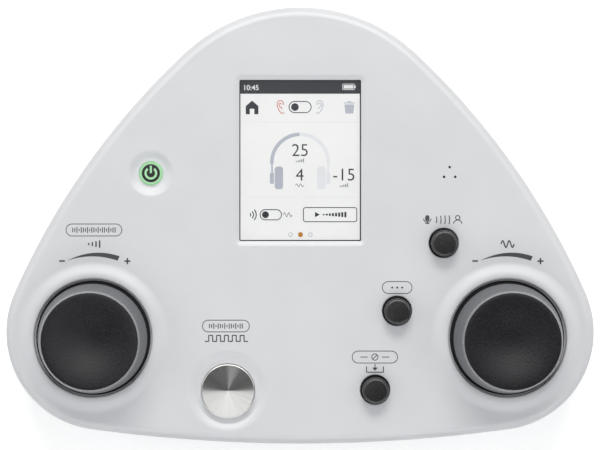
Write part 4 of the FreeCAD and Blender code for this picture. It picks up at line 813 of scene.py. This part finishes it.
def half_headset(mirror):
    """Half of a headset: half of its band, a thin arm, and the two pads of the cup."""
    return [stroke(arc(0, -1.05, 11.4, 91, 182, 40) * (mirror, 1), 1.44, **SIGN),
            stroke(segment((-11.35 * mirror, -1.25), (-11.2 * mirror, -6.55)), 0.7, **SIGN),
            bar(-11.35 * mirror, -7.35, 0.85, 2.35, 0.8, **SIGN),
            bar(-8.55 * mirror, -7.2, 1.7, 4.6, 1.2, **SIGN)]


def small_wave(x, y, width, height, turns):
    """A short sine wave."""
    t = np.linspace(0, 1, 36)
    return stroke(np.column_stack([x + width * (t - 0.5), y + height / 2 * np.sin(2 * np.pi * turns * t)]),
                  0.28, **SIGN)


def level_bars(x, y):
    """Five rising bars beside each other."""
    return [bar(x + 0.72 * number, y + height / 2 - 0.7, 0.2, height / 2, 0.05, **SIGN)
            for number, height in enumerate((0.5, 0.75, 1.0, 1.25, 1.5))]


house = np.array([(-1, -1), (-0.36, -1), (-0.36, -0.2), (0.36, -0.2), (0.36, -1), (1, -1), (1, 0.2), (0, 1),
                  (-1, 0.2)]) * (2.55, 2.75)
dark = [bar(0, 29.35, ACTIVE[0] + 0.1, 2.65, 0.2, **SIGN), slab(house + (-19.35, 21.2), **SIGN)]
dark += switch_sign(0, 21.35, 4.45, 2.25) + switch_sign(-11.8, -22.05, 4.3, 2.05)
dark += [digits("25", -0.1, 4.0, 4.9), digits("4", -0.2, -5.9, 4.8), digits("-15", 17.6, -5.9, 4.8),
         outlined(frame_path(10.75, 2.85, 0.9, 12.1, -22.0), 0.34, **SIGN),
         slab([(6.0, -23.1), (6.0, -20.9), (7.9, -22.0)], **SIGN)]
dark += [bar(9.5 + 1.25 * number, -22.0, 0.42, 0.25 + 0.12 * number, 0.05, **SIGN) for number in range(8)]
dark += [stroke(arc(-20.9, -22.05, radius, -42, 42, 14), 0.42, **SIGN) for radius in (1.0, 2.1, 3.2)]
middle = level_bars(-1.5, -0.2) + level_bars(16.2, -10.2)
middle += [small_wave(-0.2, -10.2, 3.2, 1.2, 2), small_wave(-5.0, -22.05, 3.4, 1.7, 2)]
grey = half_headset(1)
grey += [slab([(18.3, 18.75), (21.4, 18.75), (21.8, 22.4), (17.9, 22.4)], **SIGN),
         bar(19.85, 23.0, 2.15, 0.2, 0.1, **SIGN), bar(19.85, 23.5, 0.8, 0.2, 0.1, **SIGN)]
grey += ear_sign(7.7, 21.35, -1)
grey += [outlined(frame_path(0.75, 0.75, 0.74, x, -30.05), 0.28, **SIGN) for x in (-3.85, 4.1)]
faint = half_headset(-1)
faint += [bar(x, y, half, 0.12, 0.05, **SIGN)
          for x, y, half in ((0.3, 15.35, 23.2), (-11.2, -14.95, 9.7), (11.8, -14.95, 10.0))]
red = ear_sign(-7.7, 21.35, 1)
orange = [bar(0.15, -30.05, 1.0, 1.0, 9, **SIGN)]
light = [digits("10:45", -19.6, 29.2, 2.15, 0.016, **OVER),
         outlined(frame_path(2.35, 1.1, 0.3, 19.5, 29.5), 0.24, **OVER),
         bar(19.5, 29.5, 1.95, 0.7, 0.15, **OVER), bar(22.1, 29.5, 0.26, 0.5, 0.1, **OVER)]
for name, group, colour in (
        ("screen_dark", dark, SCREEN_DARK), ("screen_middle", middle, (122, 126, 134)),
        ("screen_grey", grey, (184, 188, 200)), ("screen_faint", faint, (234, 236, 240)),
        ("screen_red", red, (210, 104, 84)), ("screen_orange", orange, (186, 122, 10)),
        ("screen_light", light, (240, 242, 242))):
    signs = make_piece(name, [group], [glowing(f"{name}_glow", colour, 0.9, unevenness=0.02, size=6)],
                       place=on_screen)
    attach(signs, "housing")


# ------------ microphone
# The talk-over microphone hears through three small holes, each closed by dark gauze. The capsule sits in
# a rubber boot under them.

gauze = make_piece("microphone_gauze", [[slab(loop(path, 0.49), -0.75, -0.6) for path in sound_holes]],
                   [moulded("gauze_black", (24, 24, 26), 0.8, grain=0.15, relief=0.05)])
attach(gauze, "housing")


# ------------ sockets
# Four phone sockets of black plastic stand in the recess behind, each held by a coloured ring nut with
# fluted sides, and a plated charging socket lies beside them.

SOCKETS = (-24, -12, 0, 12)
SOCKET_AXIS, SOCKET_FLAT = 18.6, 77.5
RING_COLOURS = ((176, 34, 36), (36, 74, 160), (58, 60, 64), (214, 216, 217))


def behind(points):
    """Level millimetres to metres of the frame, for a piece carried around an axis along Y: its paths lie
    in x and height, and its levels run along Y."""
    x, height, along = np.asarray(points, float).T
    return np.column_stack([x, along, height]) / 1000


def fluted(x, height, count=144, flutes=24, depth=0.16):
    """Path around a socket whose radius dips at each flute by the depth times the square of a sine."""
    centre, _, heading = circle_path(x, height, count)
    angle = np.linspace(0, 2 * np.pi, count, endpoint=False)
    return centre, -depth * np.sin(flutes / 2 * angle) ** 2, heading


rings = [[carried(fluted(x, SOCKET_AXIS), softened([
    (4.4, SOCKET_FLAT, 0.1), (4.4, SOCKET_FLAT + 1.6, 0.3), (3.35, SOCKET_FLAT + 1.6, 0.1),
    (3.35, SOCKET_FLAT, 0.05), (4.4, SOCKET_FLAT, 0)]))] for x in SOCKETS]
nuts = make_piece("socket_rings", rings, [
    moulded(f"ring_plastic_{number}", colour, 0.35, grain=0.3, relief=0.006)
    for number, colour in enumerate(RING_COLOURS, start=1)], place=behind)
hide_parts("socket_nuts")
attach(nuts, "housing")


# ------------ pieces that keep the frame's shapes
# Screws and shafts of steel, plated parts, rubber feet, circuit boards, switches and cells. Most are out
# of sight inside the housing.


def metal(name, colour, roughness, grain=0.3):
    """Plain metal: fine grain in its roughness and a little in its tone."""
    finish, tree, shader, place = new_finish(name)
    fine, slow = mottling(tree, place, grain, 3.0), mottling(tree, place, 6)
    vary(tree, shader.inputs["Base Color"], slow, linear(colour, 0.92), linear(colour, 1.05))
    vary(tree, shader.inputs["Roughness"], fine, roughness - 0.06, roughness + 0.08)
    constants(shader, {"Metallic": 1.0})
    lift(tree, shader, fine, 0.004)
    return finish


dark_plastic = moulded("socket_plastic", (34, 35, 37), 0.45)
screw_steel = metal("screw_steel_zinc", (176, 178, 182), 0.38)
plated = metal("plated_nickel", (204, 203, 198), 0.22)
rubber = moulded("rubber_black", (38, 38, 40), 0.75, grain=0.8, relief=0.03)
board_green = moulded("board_green", (24, 78, 48), 0.4, grain=1.2, relief=0.02, mottle=0.15)
cell_wrap = moulded("cell_wrap", (52, 74, 120), 0.4)
ribbon_film = moulded("ribbon_film", (190, 192, 196), 0.45)
keeps = {
    screw_steel: ("battery_cover_screws", "housing_screws", "panel_board_screws", "main_board_screws",
                  "left_encoder_shaft", "right_encoder_shaft", "encoder_nuts"),
    plated: ("usb_socket", "microphone"),
    rubber: ("rubber_feet", "microphone_boot", "display_gasket"),
    board_green: ("panel_board", "main_board"),
    cell_wrap: ("battery_pack",),
    ribbon_film: ("ribbon_cable",),
    dark_plastic: ("display_holder", "panel_header", "main_header", "left_encoder", "right_encoder",
                   "right_phone_socket", "left_phone_socket", "bone_vibrator_socket", "response_socket",
                   "stimulus_guide",
                   *(f"{key}_{part}" for key in ("stimulus", "power", *SMALL_BUTTONS)
                     for part in ("plunger", "switch"))),
}
for finish, names in keeps.items():
    for node in names:
        finish_node(node, finish)


# ------------ return spring
# The steel wire spring under the stimulus button. It stands on the floor of the guide.


def coil(x, y, radius, wire, foot, top, turns):
    """Wire as a tube along a helix: its middle rises evenly while it goes around the axis at the radius,
    and the tube closes to a point at both ends."""
    share = np.concatenate([[0], np.linspace(0, 1, 48 * turns + 1), [1]])[:, None]
    thick = np.full(share.shape, wire / 2)
    thick[[0, -1]] = 0
    around = np.linspace(0, 2 * np.pi, 12, endpoint=False)
    turned, out = 2 * np.pi * turns * share, radius + thick * np.cos(around)
    points = np.stack([x + out * np.cos(turned), y + out * np.sin(turned),
                       foot + (top - foot) * share + thick * np.sin(around)], axis=-1)
    return points.reshape(-1, 3), woven(len(share), len(around))


spring = make_piece("stimulus_coil", [[
    coil(*STIMULUS, radius=7.0, wire=0.8, foot=-10.37, top=-2.02, turns=4)]], [screw_steel])
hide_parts("stimulus_spring")
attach(spring, "housing")
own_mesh(spring)


# ------------ floor, lamps and camera
# A pale table under a low and a high soft lamp from the rear, with weaker fills from the front and sides.
# The low lamp shows in no reflection. Cards that only reflections show darken the flat tops, and brighten
# the steel and the rims that face the rear or the front. The camera looks along the panel's normal.


def card(name, low, high, level, colour):
    """Level stage card between two corners, with a plain finish that can give white light: returns the
    object, and the node tree and shader of the finish."""
    (x, y), (far_x, far_y) = low, high
    mesh = bpy.data.meshes.new(name)
    mesh.from_pydata([(x, y, level), (far_x, y, level), (far_x, far_y, level), (x, far_y, level)],
                     [], [(0, 1, 2, 3)])
    finish, tree, shader, _ = new_finish(name)
    constants(shader, {"Base Color": colour, "Roughness": 0.9, "Specular IOR Level": 0.0,
                       "Emission Color": (1, 1, 1, 1)})
    mesh.materials.append(finish)
    board = new_object(name, mesh)
    return board, tree, shader


def seen_directly(tree):
    """One for camera, glossy and transmission rays, nought for the others."""
    rays = tree.nodes.new("ShaderNodeLightPath").outputs
    total = rays["Is Camera Ray"]
    for kind in ("Is Glossy Ray", "Is Transmission Ray"):
        total = computed(tree, "MAXIMUM", total, rays[kind])
    return total


FLOOR_GLOW, AMBIENT, LAMP_DISTANCE = 0.42, 0.24, 3.0
_, tree, shader = card("floor", (-4, -4), (4, 4), 0, (0.82, 0.82, 0.82, 1))
tree.links.new(computed(tree, "MULTIPLY", seen_directly(tree), FLOOR_GLOW),
               shader.inputs["Emission Strength"])

for name, low, high, level, light in (
        ("left_flag", (-1.60, -1.20), (-0.18, -0.10), 1.15, 0.09),
        ("middle_flag", (-0.18, -1.20), (-0.06, -0.10), 1.15, 0.32),
        ("right_flag", (-0.06, -1.20), (1.60, -0.10), 1.15, 0.09),
        ("front_card", (-1.60, -2.10), (1.60, -1.20), 1.15, 3.0),
        ("steel_card", (-0.102, -0.1175), (0.034, -0.055), 0.23, 0.94),
        ("high_card", (-1.00, 0.46), (1.00, 1.20), 1.15, 5.2),
        ("rear_card", (-0.70, 1.20), (0.70, 2.10), 1.15, 1.6)):
    flag, _, shader = card(name, low, high, level, (0, 0, 0, 1))
    constants(shader, {"Emission Strength": light})
    flag.visible_camera = flag.visible_diffuse = flag.visible_shadow = flag.visible_transmission = False

world = bpy.data.worlds.new("studio")
bpy.context.scene.world = world
world.use_nodes = True
tree = world.node_tree
backdrop = tree.nodes["Background"].inputs
backdrop["Color"].default_value = (1, 1, 1, 1)
vary(tree, backdrop["Strength"], seen_directly(tree), AMBIENT, 1.0, 0.0, 1.0)

for name, around, degrees, size, power, tint in (
        ("low_softbox", 0, 50, (1.9, 0.95), 58.0, (1.0, 0.99, 0.965)),
        ("high_softbox", 0, 14, (1.9, 1.1), 5.0, (1.0, 0.995, 0.99)),
        ("front_fill", 180, 50, (3.0, 1.4), 31.5, (0.965, 0.985, 1.0)),
        ("left_fill", 90, 55, (2.2, 1.6), 14.0, (0.98, 0.99, 1.0)),
        ("right_fill", -90, 55, (2.2, 1.6), 14.0, (0.98, 0.99, 1.0))):
    turn, lean = math.radians(around), math.radians(degrees)
    lamp = bpy.data.lights.new(name, "AREA")
    lamp.shape = "RECTANGLE"
    lamp.size, lamp.size_y = size
    lamp.energy, lamp.color = power, tint
    softbox = new_object(name, lamp)
    softbox.location = (-LAMP_DISTANCE * math.sin(lean) * math.sin(turn),
                        LAMP_DISTANCE * math.sin(lean) * math.cos(turn), LAMP_DISTANCE * math.cos(lean))
    softbox.rotation_euler = (-lean, 0, turn)
    softbox.visible_glossy = name != "low_softbox"

CAMERA_DISTANCE, LENS, SENSOR = 735.8, 110.0, 36.0
FRAME_WIDTH = CAMERA_DISTANCE * SENSOR / LENS
foot_x, foot_y, aim_x, aim_y = -15.0, 20.0, -0.1, 0.8
camera_data = bpy.data.cameras.new("camera")
camera_data.lens, camera_data.sensor_width = LENS, SENSOR
camera_data.clip_start = 0.05
camera_data.shift_x = (aim_x - foot_x) / FRAME_WIDTH
camera_data.shift_y = (aim_y - foot_y) / FRAME_WIDTH
camera = new_object("camera", camera_data)
camera.location = on_panel([(foot_x, foot_y, CAMERA_DISTANCE)])[0]
camera.rotation_euler = (TILT, 0, 0)
bpy.context.scene.camera = camera
bpy.context.scene.view_settings.view_transform = "Standard"
